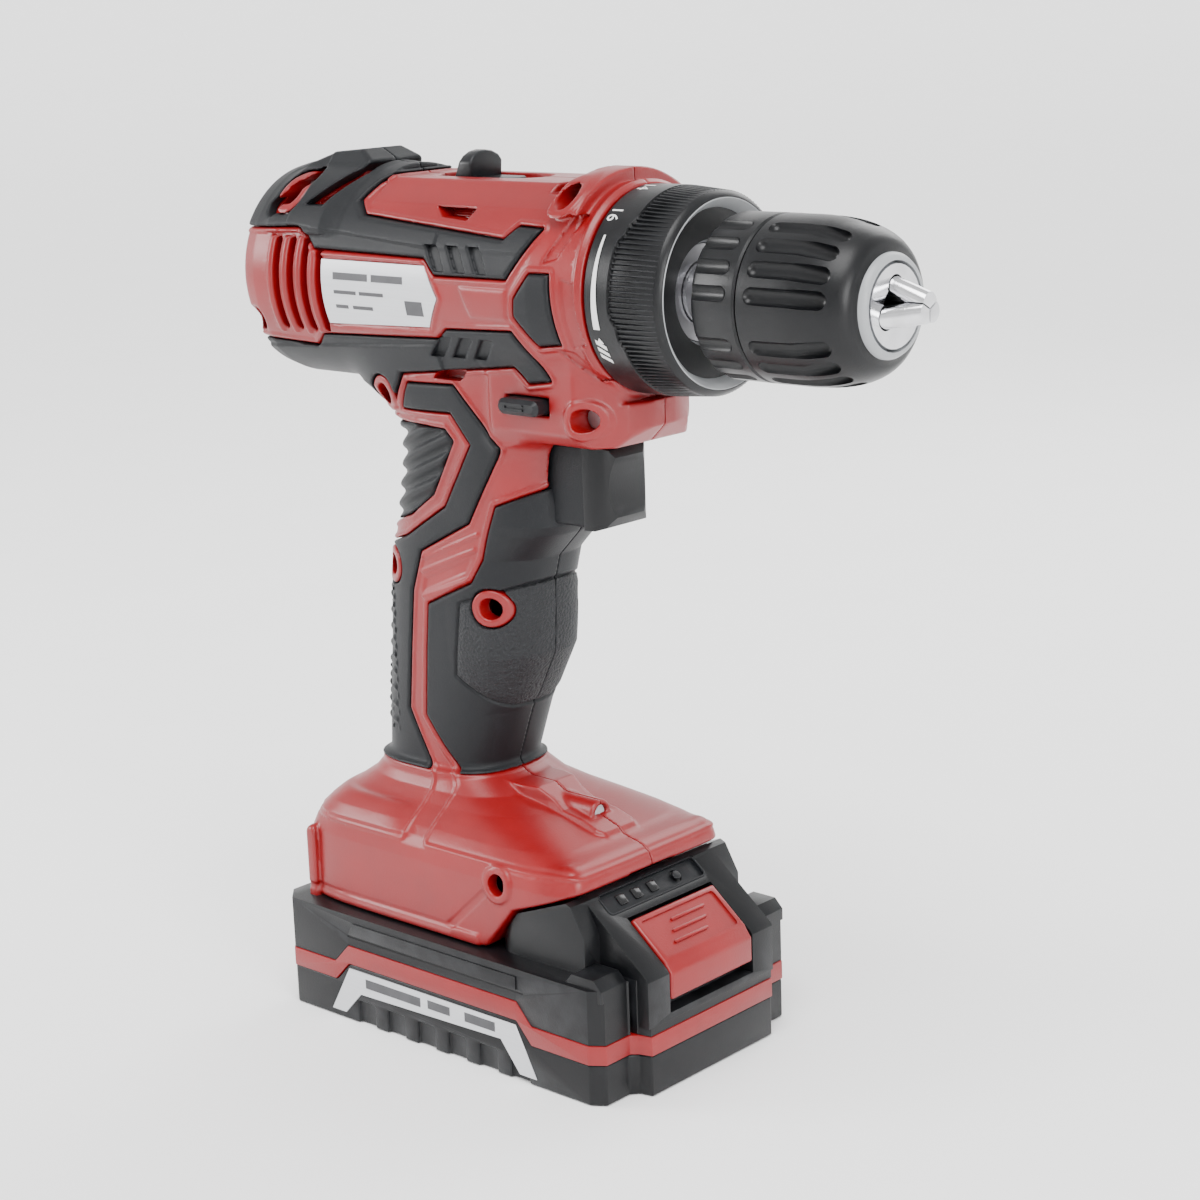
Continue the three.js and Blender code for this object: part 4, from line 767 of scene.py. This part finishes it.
def placed(piece, material, body, slot, *nodes):
    """Gives a piece its finish and its body, and hides the CAD nodes that it stands for."""
    piece.data.materials.clear()
    piece.data.materials.append(material)
    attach(piece, body)
    if nodes:
        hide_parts(*nodes)
    return piece


# ---------- housing and pads ----------
SIDES = {"right": -1, "left": 1}


def spread(side, half):
    """Y limits of one half."""
    return (-half, STEP) if side < 0 else (-STEP, half)


def across(side, inner, outer):
    """Y limits of a layer on one side."""
    return sorted((side * inner, side * outer))


def make_housing():
    for word, side in SIDES.items():
        y0, y1 = spread(side, 39)
        piece = skin_mesh(f"shell_{word}", shell, (BARREL_REAR - 3, y0, 31), (65, y1, 255), side)
        modify(piece, "DECIMATE", ratio=0.55)
        placed(shaded(piece, 60), RED, "tool", "red_plastic", f"housing_{word}")


PAD_ROOMS = {
    "top": ((-86, 218), (40, 256)), "under": ((-86, 178), (40, 210)), "hex": ((27, 202), (46, 227)),
    "back": ((-54, 71), (16, 194)), "thumb": ((-48, 140), (0, 182)), "palm": ((-26, 71), (32, 166)),
}
# CAD pads that each piece stands for, where they aren't the one of its own name.
PAD_NODES = {"back": ["thumb", "heel"], "thumb": []}


def make_pads():
    for word, side in SIDES.items():
        for name, ((x0, z0), (x1, z1)) in PAD_ROOMS.items():
            y0, y1 = spread(side, 36)
            piece = skin_mesh(f"grip_{name}_{word}", pad(name), (x0, y0, z0), (x1, y1, z1), side, 0.5)
            placed(shaded(piece, 60), SOFT, "tool", "soft_grip",
                   *[f"pad_{n}_{word}" for n in PAD_NODES.get(name, [name])])
            if name == "palm":
                piece.data.materials.append(GRAINY)
                centres = np.array([face.center for face in piece.data.polygons], np.float32) / MM
                grainy = outline(PALM_INSET, centres[:, 0], centres[:, 2]) < -0.4
                piece.data.polygons.foreach_set("material_index", grainy.astype(np.int32))


# ---------- torque ring ----------
def around(x, r, angle):
    """A point on a cylinder about the spindle; the angle runs from the top towards the right side."""
    return Vector((x, -r * math.sin(angle), AXIS + r * math.cos(angle)))


def wrapped(piece, r, x_of, angle_of):
    """Bends a flat piece (metres, in its own XY) onto a cylinder; Z becomes height above r."""
    for vertex in piece.data.vertices:
        u, v, w = vertex.co / MM
        vertex.co = around(x_of(u, v), r + w, angle_of(u, v)) * MM
    return edit(piece, OUTWARDS)


NUMBER_X, MARK_X = 55.7, 56.4  # middle of the numbers and of the other marks, along the spindle
NUMBER_14, NUMBER_STEP = 10.1, 14.65  # degrees of number 14, and for each 1 more
SWEEP_START, SWEEP_END = 53.5, 105.4  # degrees of the widening line's ends
DRILL_MARK = 119  # degrees of the drill mark


def ring_number(text, degrees):
    """A number printed on the torque ring, its top towards the front."""
    bpy.ops.object.select_all(action="DESELECT")
    bpy.ops.object.text_add(location=(0, 0, 0))
    piece = bpy.context.object
    piece.name = f"ring_number_{text}"
    piece.data.body = text
    piece.data.size = 5.2 * MM
    piece.data.align_x = piece.data.align_y = "CENTER"
    piece.data.extrude = 0.06 * MM
    bpy.ops.object.convert(target="MESH")
    piece = bpy.context.object
    edit(piece, merged(1e-6), (bpy.ops.mesh.quads_convert_to_tris, {}),
         (bpy.ops.mesh.subdivide, {"number_cuts": 2}))
    centre = math.radians(degrees)
    return wrapped(piece, RING_R + 0.1, lambda u, v: NUMBER_X + v, lambda u, v: centre + u / RING_R)


def ring_mark(name, points, degrees):
    """A flat printed shape: points are (along the rim, towards the front) from its middle."""
    piece = rim(name, points, "xy", 0.06)
    centre = math.radians(degrees)
    return wrapped(piece, RING_R + 0.1, lambda u, v: MARK_X + v, lambda u, v: centre + u / RING_R)


def stepped_edge(piece, level):
    """Moves the knurl's rear edge forward in steps, so that it runs wide of the numbers."""
    turns, shifts = [0, 41, 46, 52, 58, 98, 104, 112, 118, 360], [3, 3, 1.7, 1.7, 0, 0, 1.7, 1.7, 3, 3]
    for vertex in piece.data.vertices:
        x, y, z = vertex.co / MM
        if abs(x - level) < 1.1 and math.hypot(y, z - AXIS) > 24:
            turn = math.degrees(math.atan2(-y, z - AXIS)) % 360
            vertex.co.x += MM * float(np.interp(turn, turns, shifts))


def make_torque_ring():
    knurl_rear, knurl_front = RING_REAR + 8.8, RING_FRONT - 1.2
    ribs, depth = 120, 0.6
    body = turned("clutch_ring", [
        (RING_REAR, 21.2), (RING_REAR, RING_R - 0.4), (RING_REAR + 0.4, RING_R), (knurl_rear - 0.9, RING_R),
        (knurl_rear - 0.5, RING_R - 0.9), (knurl_front - 0.6, RING_R - 0.9), (knurl_front - 0.1, RING_R - 1.2),
        (RING_FRONT - 0.3, 25.6), (RING_FRONT, 25), (RING_FRONT - 0.3, 24.4), (RING_FRONT - 1.4, 23.4),
        (RING_FRONT - 3.8, 22), (RING_FRONT - 4.2, 19), (RING_FRONT - 5, 14), (70.3, 14), (70.3, 21.2),
    ], 144)
    stepped_edge(body, knurl_rear)
    placed(shaded(body), BLACK, "torque_ring", "black_plastic", "torque_ring")
    # Painted reflection: this lip of the black ring is coloured pale grey to stand in for the white light reflected in
    # its front face.
    lip = turned("clutch_lip", [(RING_FRONT - 0.15, 24.9), (RING_FRONT + 0.05, 24.6), (RING_FRONT - 1.3, 23.2),
                                (RING_FRONT - 3.6, 22.1), (RING_FRONT - 3.8, 22.4)], 144)
    placed(shaded(lip), GREY_AND_REFLECTION, "torque_ring", "black_plastic")
    rib = [(-0.36, RING_R - 1.2), (-0.33, RING_R - depth), (-0.15, RING_R - 0.02), (0.15, RING_R - 0.02),
           (0.33, RING_R - depth), (0.36, RING_R - 1.2)]
    single = slab("rib", [(u, AXIS + v) for u, v in rib], "yz", knurl_rear, knurl_front)
    for vertex in single.data.vertices:
        if vertex.co.x > (knurl_front - 0.1) * MM:
            vertex.co.z -= 0.9 * MM
            vertex.co.x -= 0.4 * MM
    knurl = turned_copies(single, ribs)
    knurl.name = "clutch_knurl"
    stepped_edge(knurl, knurl_rear)
    placed(shaded(knurl), BLACK, "torque_ring", "black_plastic")
    marks = [ring_number(str(n), NUMBER_14 + (n - 14) * NUMBER_STEP) for n in range(2, 17, 2)]
    mid, half = (SWEEP_START + SWEEP_END) / 2, math.radians(SWEEP_END - SWEEP_START) / 2 * RING_R
    sweep = [(-half + 2 * half * k / 24, -0.35 - 0.75 * k / 24) for k in range(25)]
    sweep += [(u, -v) for u, v in reversed(sweep)]
    for k in range(24):
        marks.append(ring_mark("ring_sweep", [sweep[k], sweep[k + 1], sweep[48 - k], sweep[49 - k]], mid))
    for k in (-1, 0, 1):
        marks.append(ring_mark("ring_slash", [(-1.6 + k * 2.1, -1.6), (-0.3 + k * 2.1, -1.6), (1.6 + k * 2.1, 1.6),
                                              (0.3 + k * 2.1, 1.6)], DRILL_MARK))
    marks.append(ring_mark("ring_drill_tip", [(-4.2, 0), (-2.6, -1.2), (-2.6, 1.2)], DRILL_MARK))
    placed(gathered("clutch_marks", marks), WHITE, "torque_ring", "plate")


# ---------- chuck ----------
def grouped_flutes(flute):
    """Flute cutters in four groups of four, with a plain land between groups."""
    return turned_copies(flute, 20, 0.16, 5)


def make_chuck():
    rear = turned("chuck_rear_grip", [
        (CHUCK_REAR, 15.9), (CHUCK_REAR, CHUCK_R - 1.6), (CHUCK_REAR + 0.7, CHUCK_R - 0.5), (CHUCK_REAR + 2, CHUCK_R),
        (CHUCK_SEAM - 0.6, CHUCK_R), (CHUCK_SEAM, CHUCK_R - 0.5), (CHUCK_SEAM, 15.9),
    ], 144)
    over = CHUCK_R + 1.2
    flute = round_line("flute", around(CHUCK_REAR - 6, over, 0), around(CHUCK_SEAM - 4.6, over, 0), 2.5, 16)
    cut(rear, grouped_flutes(flute))
    placed(shaded(rear), BLACK, "spindle", "black_plastic", "chuck_rear_sleeve")
    start = CHUCK_SEAM + 0.35
    dome = [(start, 19), (start, CHUCK_R - 0.5), (start + 0.5, CHUCK_R), (start + 11, CHUCK_R)]
    for k in range(1, 13):
        a = math.radians(90) * k / 12
        dome.append((start + 11 + (CHUCK_NOSE - 2.2 - start - 11) * math.sin(a),
                     13.6 + (CHUCK_R - 13.6) * math.cos(a) ** 0.85))
    dome += [(CHUCK_NOSE - 1.9, 13.2), (CHUCK_NOSE - 1.9, 11.4), (start + 28, 12.7),
             (start + 28, 15.9), (start + 11, 15.9), (start + 11, 19)]
    front = turned("chuck_front_grip", dome, 144)
    long_flute = round_line("flute", around(start + 5, CHUCK_R + 0.9, 0), around(start + 16, CHUCK_R + 0.7, 0), 2.5)
    tail = round_line("tail", around(start + 15.5, CHUCK_R + 0.75, 0), around(start + 24, CHUCK_R - 2.4, 0), 2.45)
    fused(long_flute, tail)
    cut(front, grouped_flutes(long_flute))
    placed(shaded(front), BLACK, "chuck_sleeve", "black_plastic", "chuck_front_sleeve")
    rim_ring = turned("chuck_nose_rim", [
        (CHUCK_NOSE - 2.6, 11.3), (CHUCK_NOSE - 2.6, 13.3), (CHUCK_NOSE - 1.2, 13.2), (CHUCK_NOSE - 0.3, 12.6),
        (CHUCK_NOSE, 12.1), (CHUCK_NOSE, 11.3),
    ], 96)
    placed(shaded(rim_ring), GREY_AND_REFLECTION, "chuck_sleeve", "black_plastic")


def make_jaws():
    angle = math.radians(18)
    for k, body in enumerate(("jaw_a", "jaw_b", "jaw_c")):
        a = math.pi / 2 + 2 * math.pi * k / 3
        r = 2.9
        low = node_box(f"jaw_{k + 1}")[0]
        out = Vector((0, math.cos(a), math.sin(a)))
        tip = Vector((JAW_TIP, 0, AXIS)) + out * 1.2
        length = (JAW_TIP - low.x - r * math.sin(angle)) / math.cos(angle) - r
        back = tip + Vector((-length * math.cos(angle), 0, 0)) + out * length * math.sin(angle)
        run = (back - tip).normalized()
        jaw = round_line("jaw", tip - run * 6, back, r, 28)
        core = arc(0, AXIS, 2.6, [90 + 120 * k + t for t in range(-180, 180, 15)])
        fused(jaw, slab("core", core, "yz", JAW_TIP - 4.5, JAW_TIP - 0.6))
        wedge = [(0.18 * math.cos(a), AXIS + 0.18 * math.sin(a))]
        wedge += [(40 * math.cos(a + s), AXIS + 40 * math.sin(a + s)) for s in (-math.pi / 3, math.pi / 3)]
        shared(jaw, slab("wedge", wedge, "yz", CHUCK_REAR + 12, JAW_TIP - 0.01))
        jaw.name = f"clamp_jaw_{k + 1}"
        softened(jaw, 0.3, 2, 40)
        placed(jaw, CHROME, body, "jaw_chrome", f"jaw_{k + 1}")


# ---------- controls ----------
def make_trigger():
    low, high = node_box("trigger")
    front, half, mid = high.x - 2, high.y, (low.z + high.z) / 2
    rear = front - 29
    blade = slab("trigger_blade", [
        (rear, low.z + 0.3), (front - 9, low.z + 0.3), (front - 6, low.z + 1.4), (front - 6, high.z - 1),
        (front - 9, high.z - 0.2), (rear, high.z - 0.2),
    ], "xz", -half + 0.5, half - 0.5)
    softened(blade, 1.6, 4)
    stem = box("trigger_stem", low.x, rear + 3, -5, 5, mid - 6, mid + 6)
    coil_low, coil_high = node_box("trigger_spring")
    for part in (blade, stem):
        cut(part, box("spring_room", coil_low.x - 3, coil_high.x + 7.8, coil_low.y - 0.5, coil_high.y + 0.5,
                      coil_low.z - 0.5, coil_high.z + 0.5))
    placed(gathered("trigger_blade", [shaded(blade), softened(stem, 0.4)]), SOFT, "trigger", "black_plastic",
           "trigger")
    hollow = [(front - 0.6 - 1.1 * math.sin(math.pi * k / 8), high.z - 4 - (high.z - low.z - 7.5) * k / 8)
              for k in range(9)]
    finger = slab("trigger_finger", [
        (front - 8.4, high.z - 1.2), (front - 4.6, high.z - 0.5), (front - 1.6, high.z - 1.8), *hollow,
        (front - 2.4, low.z + 0.8), (front - 5, low.z), (front - 8.4, low.z),
    ], "xz", -half, half)
    shared(finger, slab("finger_plan", lozenge(front - 30, front, -half, half, 8, 8), "xy", low.z - 1, high.z + 1))
    softened(finger, 1.8, 4, 25)
    placed(finger, BLACK, "trigger", "black_plastic")


def make_lever():
    low, high = node_box("direction_lever")
    x, z, half = (low.x + high.x) / 2, (low.z + high.z) / 2, (high.x - low.x) / 2
    r = (high.z - low.z) / 2
    ends = []
    for centre, first in ((x + half - r, -90), (x - half + r, 90)):
        ends += arc(centre, z, r, range(first, first + 181, 20))
    lever = slab("reverse_lever", ends, "xz", low.y, high.y)
    softened(lever, 1.1, 1)
    for y in (low.y - 0.5, high.y - 0.35):
        arrow = [(-4, -0.3), (2.4, -0.3), (2.4, -1), (4.4, 0.2), (2.4, 1), (2.4, 0.4), (-4, 0.4)]
        cut(lever, slab("arrow", [(x + u, z + v) for u, v in arrow], "xz", y, y + 0.85))
    placed(shaded(lever), GLOSS, "direction_lever", "black_plastic", "direction_lever")


def make_selector():
    low, high = node_box("speed_selector")
    base = AXIS + SELECTOR_FLOOR + 0.35
    crest = [(-6.4, base), (-6.4, high.z - 3.6), (-5, high.z - 2), (-2.6, high.z - 0.9), (0, high.z - 0.5)]
    crest += [(-y, z) for y, z in reversed(crest[:-1])]
    knob = slab("speed_knob", crest, "yz", -14, -7.4)
    for vertex in knob.data.vertices:
        if vertex.co.z > (base + 2) * MM:
            vertex.co.x += (2.4 if vertex.co.x < -10 * MM else 0.5) * MM
    softened(knob, 0.7, 3, 25)
    sled = slab("sled", lozenge(-15.2, high.x + 0.8, -5.8, 5.8, 5.6, 6), "xy", base, base + 0.8)
    softened(sled, 0.3)
    stem = box("stem", 2.4, 4.8, -3, 3, low.z, base + 0.5)
    placed(gathered("speed_knob", [knob, sled, stem]), GLOSS, "shift", "black_plastic", "speed_selector")


# ---------- rating plates ----------
def film(inner, outer):
    """A thin tube round the barrel, which trims a thick piece to a curved film."""
    return turned("film", [(-60, inner), (-60, outer), (20, outer), (20, inner)], 256)


def make_plates():
    for word, side in SIDES.items():
        plate = slab(f"rating_label_{word}", PLATE, "xz", side * 20, side * 45)
        shared(plate, film(BARREL_R - 0.6, BARREL_R - 0.1))
        placed(shaded(plate), LABEL, "tool", "plate", f"rating_plate_{word}")
        bars = [(-40, -26, 0.9, 2.9), (-24.4, -12, 0.9, 2.9), (-40, -31, -3.1, -2.1), (-29.6, -20, -3.1, -2.1),
                (-40, -35, -7.2, -6.2), (-33, -25, -7.2, -6.2), (-11.6, -5, -7.6, -3.6)]
        print_film = gathered(f"label_bars_{word}", [
            box("bar", x0, x1, *across(side, 20, 45), AXIS + z0, AXIS + z1) for x0, x1, z0, z1 in bars])
        shared(print_film, film(BARREL_R - 0.4, BARREL_R))
        placed(shaded(print_film), PRINT, "tool", "plate")


# ---------- battery pack ----------
def pack_plan(g):
    """The pack seen from above, grown outwards by g."""
    right = [(-67.1 - g, -36.2), (-62.1, -41.2 - g), (57.4, -41.2 - g), (61.3 + g, -38.6), (61.3 + g, -29.4 + g),
             (63.2 + g, -27.2 - g), (67.1 + g, -26.4)]
    return right + [(x, -y) for x, y in reversed(right)]


def band_line(offset):
    """Lower edge of the stripe along the side, raised by offset."""
    low, high = 11.8 + offset, 17.9 + offset
    return [(-80, low), (-44, low), (-38, high), (30.5, high), (36, low), (80, low)]


def arc(cu, cv, r, degrees):
    """Points on a circle at the given angles."""
    return [(cu + r * math.cos(math.radians(a)), cv + r * math.sin(math.radians(a))) for a in degrees]


def lozenge(u0, u1, v0, v1, r, steps=4):
    """A rectangle with round corners."""
    points = []
    for cu, cv, first in ((u1 - r, v1 - r, 0), (u0 + r, v1 - r, 90), (u0 + r, v0 + r, 180), (u1 - r, v0 + r, 270)):
        points += arc(cu, cv, r, [first + 90 * k / steps for k in range(steps + 1)])
    return points


SLOPE_X, SLOPE_Z = 43.5, 53.24  # top of the pack's sloping front
SLOPE_RUN, SLOPE_FALL = 0.7736, 0.6337  # its direction


def on_slope(s, out):
    """(x, z) of a point down the pack's sloping front and standing out from it."""
    return SLOPE_X + SLOPE_RUN * s + SLOPE_FALL * out, SLOPE_Z - SLOPE_FALL * s + SLOPE_RUN * out


def make_pack():
    lower = slab("battery_lower", pack_plan(0), "xy", 0, 24)
    shared(lower, slab("below", [*band_line(-0.05), (80, -5), (-80, -5)], "xz", -60, 60))
    for x in (-35 + 12.5 * k for k in range(6)):
        for side in (-1, 1):
            cut(lower, box("rib_gap", x, x + 7, *across(side, 40.1, 43), -1, 7))
    softened(lower, 1.1, 3)
    placed(lower, BLACK, "pack", "black_plastic", "pack_lower_case")

    stripe = slab("battery_stripe", pack_plan(0.35), "xy", 8, 30)
    shared(stripe, slab("stripe_side", [*band_line(0.1), *reversed(band_line(5.8))], "xz", -60, 60))
    softened(stripe, 0.35, 2)
    placed(stripe, RED, "pack", "red_plastic", "pack_band")

    upper = slab("battery_upper", pack_plan(0), "xy", 14, 33.4)
    above_stripe = [*band_line(5.95), (80, 60), (-80, 60)]
    shared(upper, slab("above", above_stripe, "xz", -60, 60))
    tower = slab("tower", [(14.9, 30), (14.9, 33.6), (24.9, 45.9), (43.6, 53), (45.4, 52.2), (50, 44), (50, 30)],
                 "xz", -33.4, 33.4)
    shared(tower, slab("tower_plan", lozenge(14.9, 60, -33.4, 33.4, 8, 6), "xy", 20, 60))
    fused(upper, tower)
    wedge = slab("wedge", [(30, 20), (30, 48), (40.5, 51.6), on_slope(0, 0), on_slope(29.7, 0), (67.2, 33.4),
                           (67.2, 20)], "xz", -27.2, 27.2)
    shared(wedge, slab("over", above_stripe, "xz", -60, 60))
    fused(upper, wedge)
    for side in (-1, 1):
        ear = slab("ear", [(48, 30), (48, 33.2), (50.5, 36.2), (58.6, 36.2), (61.3, 33.4), (61.3, 30)], "xz",
                   *across(side, 29.4, 39.6))
        fused(upper, ear)
        fused(upper, box("side_rail", -35.6, 31, *across(side, 40, 41.75), 27.4, 31.2))
        cut(upper, box("side_trench", -38, 33.5, *across(side, 41, 43), 26.4, 27.1))
        cut(upper, box("ear_groove", 55, 63, *across(side, 27.35, 28.9), 14, 40))
    cut(upper, slab("key_room", [on_slope(12, 3), on_slope(9.6, -6.9), (62.4, 26.6), (62.4, 22), (80, 22), (80, 33.4),
                                 on_slope(28.9, 3)], "xz", -18.1, 18.1))
    cut(upper, slab("gauge_room", lozenge(-22.6, 18.8, 1.5, 9, 1.5), "slope", -1.2, 3))
    softened(upper, 0.9, 3)
    low, high = node_box("contact_block")
    web, flange = box("web", -52, 22, -20, 20, 33, 41), box("flange", -52, 20, -26, 26, 40.8, 45)
    fused(web, flange)
    cut(web, box("terminal_room", low.x - 8, high.x + 0.4, low.y - 0.4, high.y + 0.4, 33.6, 60))
    softened(web, 0.5, 2)
    catch = slab("catch", [(30.4, 44), (30.4, 54.2), (34.6, 54.2), (38.4, 50.6), (38.4, 44)], "xz", -7.8, 7.8)
    softened(catch, 0.5, 2)
    placed(gathered("battery_upper", [upper, web, catch]), BLACK, "pack", "black_plastic", "pack_upper_case")


def make_gauge():
    panel = slab("gauge_window", lozenge(-22.4, 18.6, 1.7, 8.8, 1.4), "slope", -1.15, -0.7)
    key_low, key_high = node_box("gauge_button")
    key_y = (key_low.y + key_high.y) / 2
    cut(panel, slab("key_hole", lozenge(key_y - 2, key_y + 2, 3.2, 7.2, 1.9, 6), "slope", -3, 1))
    lamps = [softened(slab("light", lozenge(y - 1.7, y + 1.7, 3.6, 7, 0.4, 2), "slope", -0.9, -0.25), 0.2)
             for y in (-14.6, -8.3, -1.5)]
    placed(gathered("gauge_lights", lamps), DARK, "pack", "black_plastic")
    frame_line = slab("gauge_rim", lozenge(-22.6, 18.8, 1.5, 9, 1.5), "slope", -0.9, 0.18)
    cut(frame_line, slab("inside", lozenge(-22, 18.2, 2.1, 8.4, 1.1), "slope", -2, 2))
    placed(gathered("gauge_window", [softened(panel, 0.15), softened(frame_line, 0.15)]), SOFT, "pack", "black_plastic",
           "gauge_panel")
    key = slab("gauge_key", arc(key_y, 5.2, 1.5, range(0, 360, 15)), "slope", -0.6, 0.35)
    placed(softened(key, 0.4, 3), GLOSS, "gauge_key", "black_plastic", "gauge_button")


def make_release_key():
    button = slab("release_key", [
        on_slope(12.4, -2.4), on_slope(12.4, 0.7), on_slope(27.6, 0.7), on_slope(28.9, 0.2), (67.6, 33), (67.6, 25.6),
        (66, 25.6), (66, 31), on_slope(26, -2.4),
    ], "xz", -17.6, 17.6)
    softened(button, 0.8, 3, 25)
    cut(button, slab("key_dish", lozenge(-15.6, 15.6, 14.1, 26.4, 1.2), "slope", 0.15, 3))
    grips = []
    for y, s in ((2.2, 17), (0, 20.2), (-2.2, 23.4)):
        line = slab("grip_line", lozenge(y - 7.2, y + 7.2, s - 0.45, s + 0.45, 0.4, 3), "slope", -0.2, 0.75)
        grips.append(softened(line, 0.2))
    placed(gathered("release_key", [shaded(button), *grips]), RED, "release", "red_plastic", "release_button")


def make_pack_labels():
    arch = [(-46.5, 2), (-38, 16.6), (30, 16.6), (37.5, 2), (31, 2), (24, 10.8), (-33.5, 9.3), (-40.5, 2)]
    for word, side in SIDES.items():
        plate = slab(f"battery_label_{word}", arch, "xz", *across(side, 40.8, 41.45))
        placed(softened(plate, 0.12, 1), LABEL, "pack", "plate", f"pack_plate_{word}")
        bars = [box("bar", x0, x1, *across(side, 41.3, 41.52), z0, z1)
                for x0, x1, z0, z1 in ((-31, -8, 12, 14.8), (-5, 4, 12.4, 15), (10, 22, 12.4, 15.2))]
        placed(gathered(f"battery_bars_{word}", bars), PRINT, "pack", "plate")


# ---------- pieces that the frame gives as they are ----------
CARRIED = [
    (STEEL, [n for n in NODES if n.startswith("screw_")]),
    (STEEL, ["chuck_screw", "trigger_spring", "motor_can", "spindle", "spindle_bearing", "planet_1", "planet_2",
             "planet_3", "ring_gear"]),
    (LENS, ["work_light"]),
    (COPPER, ["motor_rotor"]),
    (CAST, ["gear_case"]),
    (BRASS, ["terminal_block"]),
    (CELL_BLUE, ["cell_pack"]),
    (BLACK, ["switch_module", "contact_block", "lead_negative"]),
    (LEAD_RED, ["lead_positive"]),
    (CHROME, ["chuck_body"]),
]


def finish_carried():
    for material, names in CARRIED:
        for name in names:
            mesh = NODES[name].data
            mesh.materials.clear()
            mesh.materials.append(material)


# ---------- stage ----------
def make_stage():
    profile = [(0, 0), (5, 0), (6.4, 0.15), (7.5, 0.6), (8.4, 1.5), (8.8, 3), (8.9, 5)]
    mesh = bpy.data.meshes.new("floor")
    mesh.from_pydata([(r, 0, h - 0.0002) for r, h in profile], [(k, k + 1) for k in range(len(profile) - 1)], [])
    floor = bpy.data.objects.new("floor", mesh)
    to_scene(floor)
    edit(
        floor,
        (bpy.ops.mesh.spin, {"steps": 96, "angle": 2 * math.pi, "center": (0, 0, 0), "axis": (0, 0, 1)}),
        ALL,
        merged(1e-5),
        (bpy.ops.mesh.normals_make_consistent, {"inside": True}),
    )
    shaded(floor, 60)
    f = Finish("pale_floor")
    cloud = f.noise(60, 2)
    pale = f.mix(cloud, [0.93, 0.93, 0.93, 1], [0.96, 0.96, 0.96, 1])
    floor.data.materials.append(f.done(pale, 0.7 + cloud * 0.05))
    world = bpy.data.worlds.new("studio")
    world.use_nodes = True
    world.node_tree.nodes["Background"].inputs[0].default_value = (1, 1, 1, 1)
    world.node_tree.nodes["Background"].inputs[1].default_value = 1.05
    bpy.context.scene.world = world
    lights = [
        ("overhead", "SUN", (0.25, -0.35, 1.0), 3.4, 0.7),
        ("left_front", "AREA", (-0.8, -0.6, 0.5), 6, 0.35),
        ("right_front", "AREA", (1.0, -0.35, 0.45), 6, 0.4),
        ("behind", "AREA", (-0.1, 0.9, 0.8), 5, 0.6),
    ]
    for name, kind, place, power, size in lights:
        data = bpy.data.lights.new(name, kind)
        data.energy = power
        if kind == "SUN":
            data.angle = size
        else:
            data.size = size
        lamp = bpy.data.objects.new(name, data)
        lamp.location = place
        lamp.rotation_euler = (Vector((0.02, 0, 0.13)) - Vector(place)).to_track_quat("-Z", "Y").to_euler()
        to_scene(lamp)


def make_camera():
    azimuth, elevation, roll = math.radians(42.417), math.radians(13.945), math.radians(-2.02)
    level = Vector((math.cos(azimuth), math.sin(azimuth), 0))
    ahead = Vector((-math.sin(azimuth) * math.cos(elevation), math.cos(azimuth) * math.cos(elevation),
                    -math.sin(elevation)))
    upright = level.cross(ahead)
    right = level * math.cos(roll) + upright * math.sin(roll)
    up = upright * math.cos(roll) - level * math.sin(roll)
    data = bpy.data.cameras.new("camera")
    data.lens, data.sensor_width = 75.51, 36
    data.clip_start = 0.05
    camera = bpy.data.objects.new("camera", data)
    turn = Matrix((right, up, -ahead)).transposed().to_4x4()
    camera.matrix_world = Matrix.Translation((0.48967, -0.50336, 0.29911)) @ turn
    to_scene(camera)
    bpy.context.scene.camera = camera


make_camera()
make_stage()
make_housing()
make_pads()
make_torque_ring()
make_chuck()
make_jaws()
make_trigger()
make_lever()
make_selector()
make_plates()
make_pack()
make_gauge()
make_release_key()
make_pack_labels()
finish_carried()
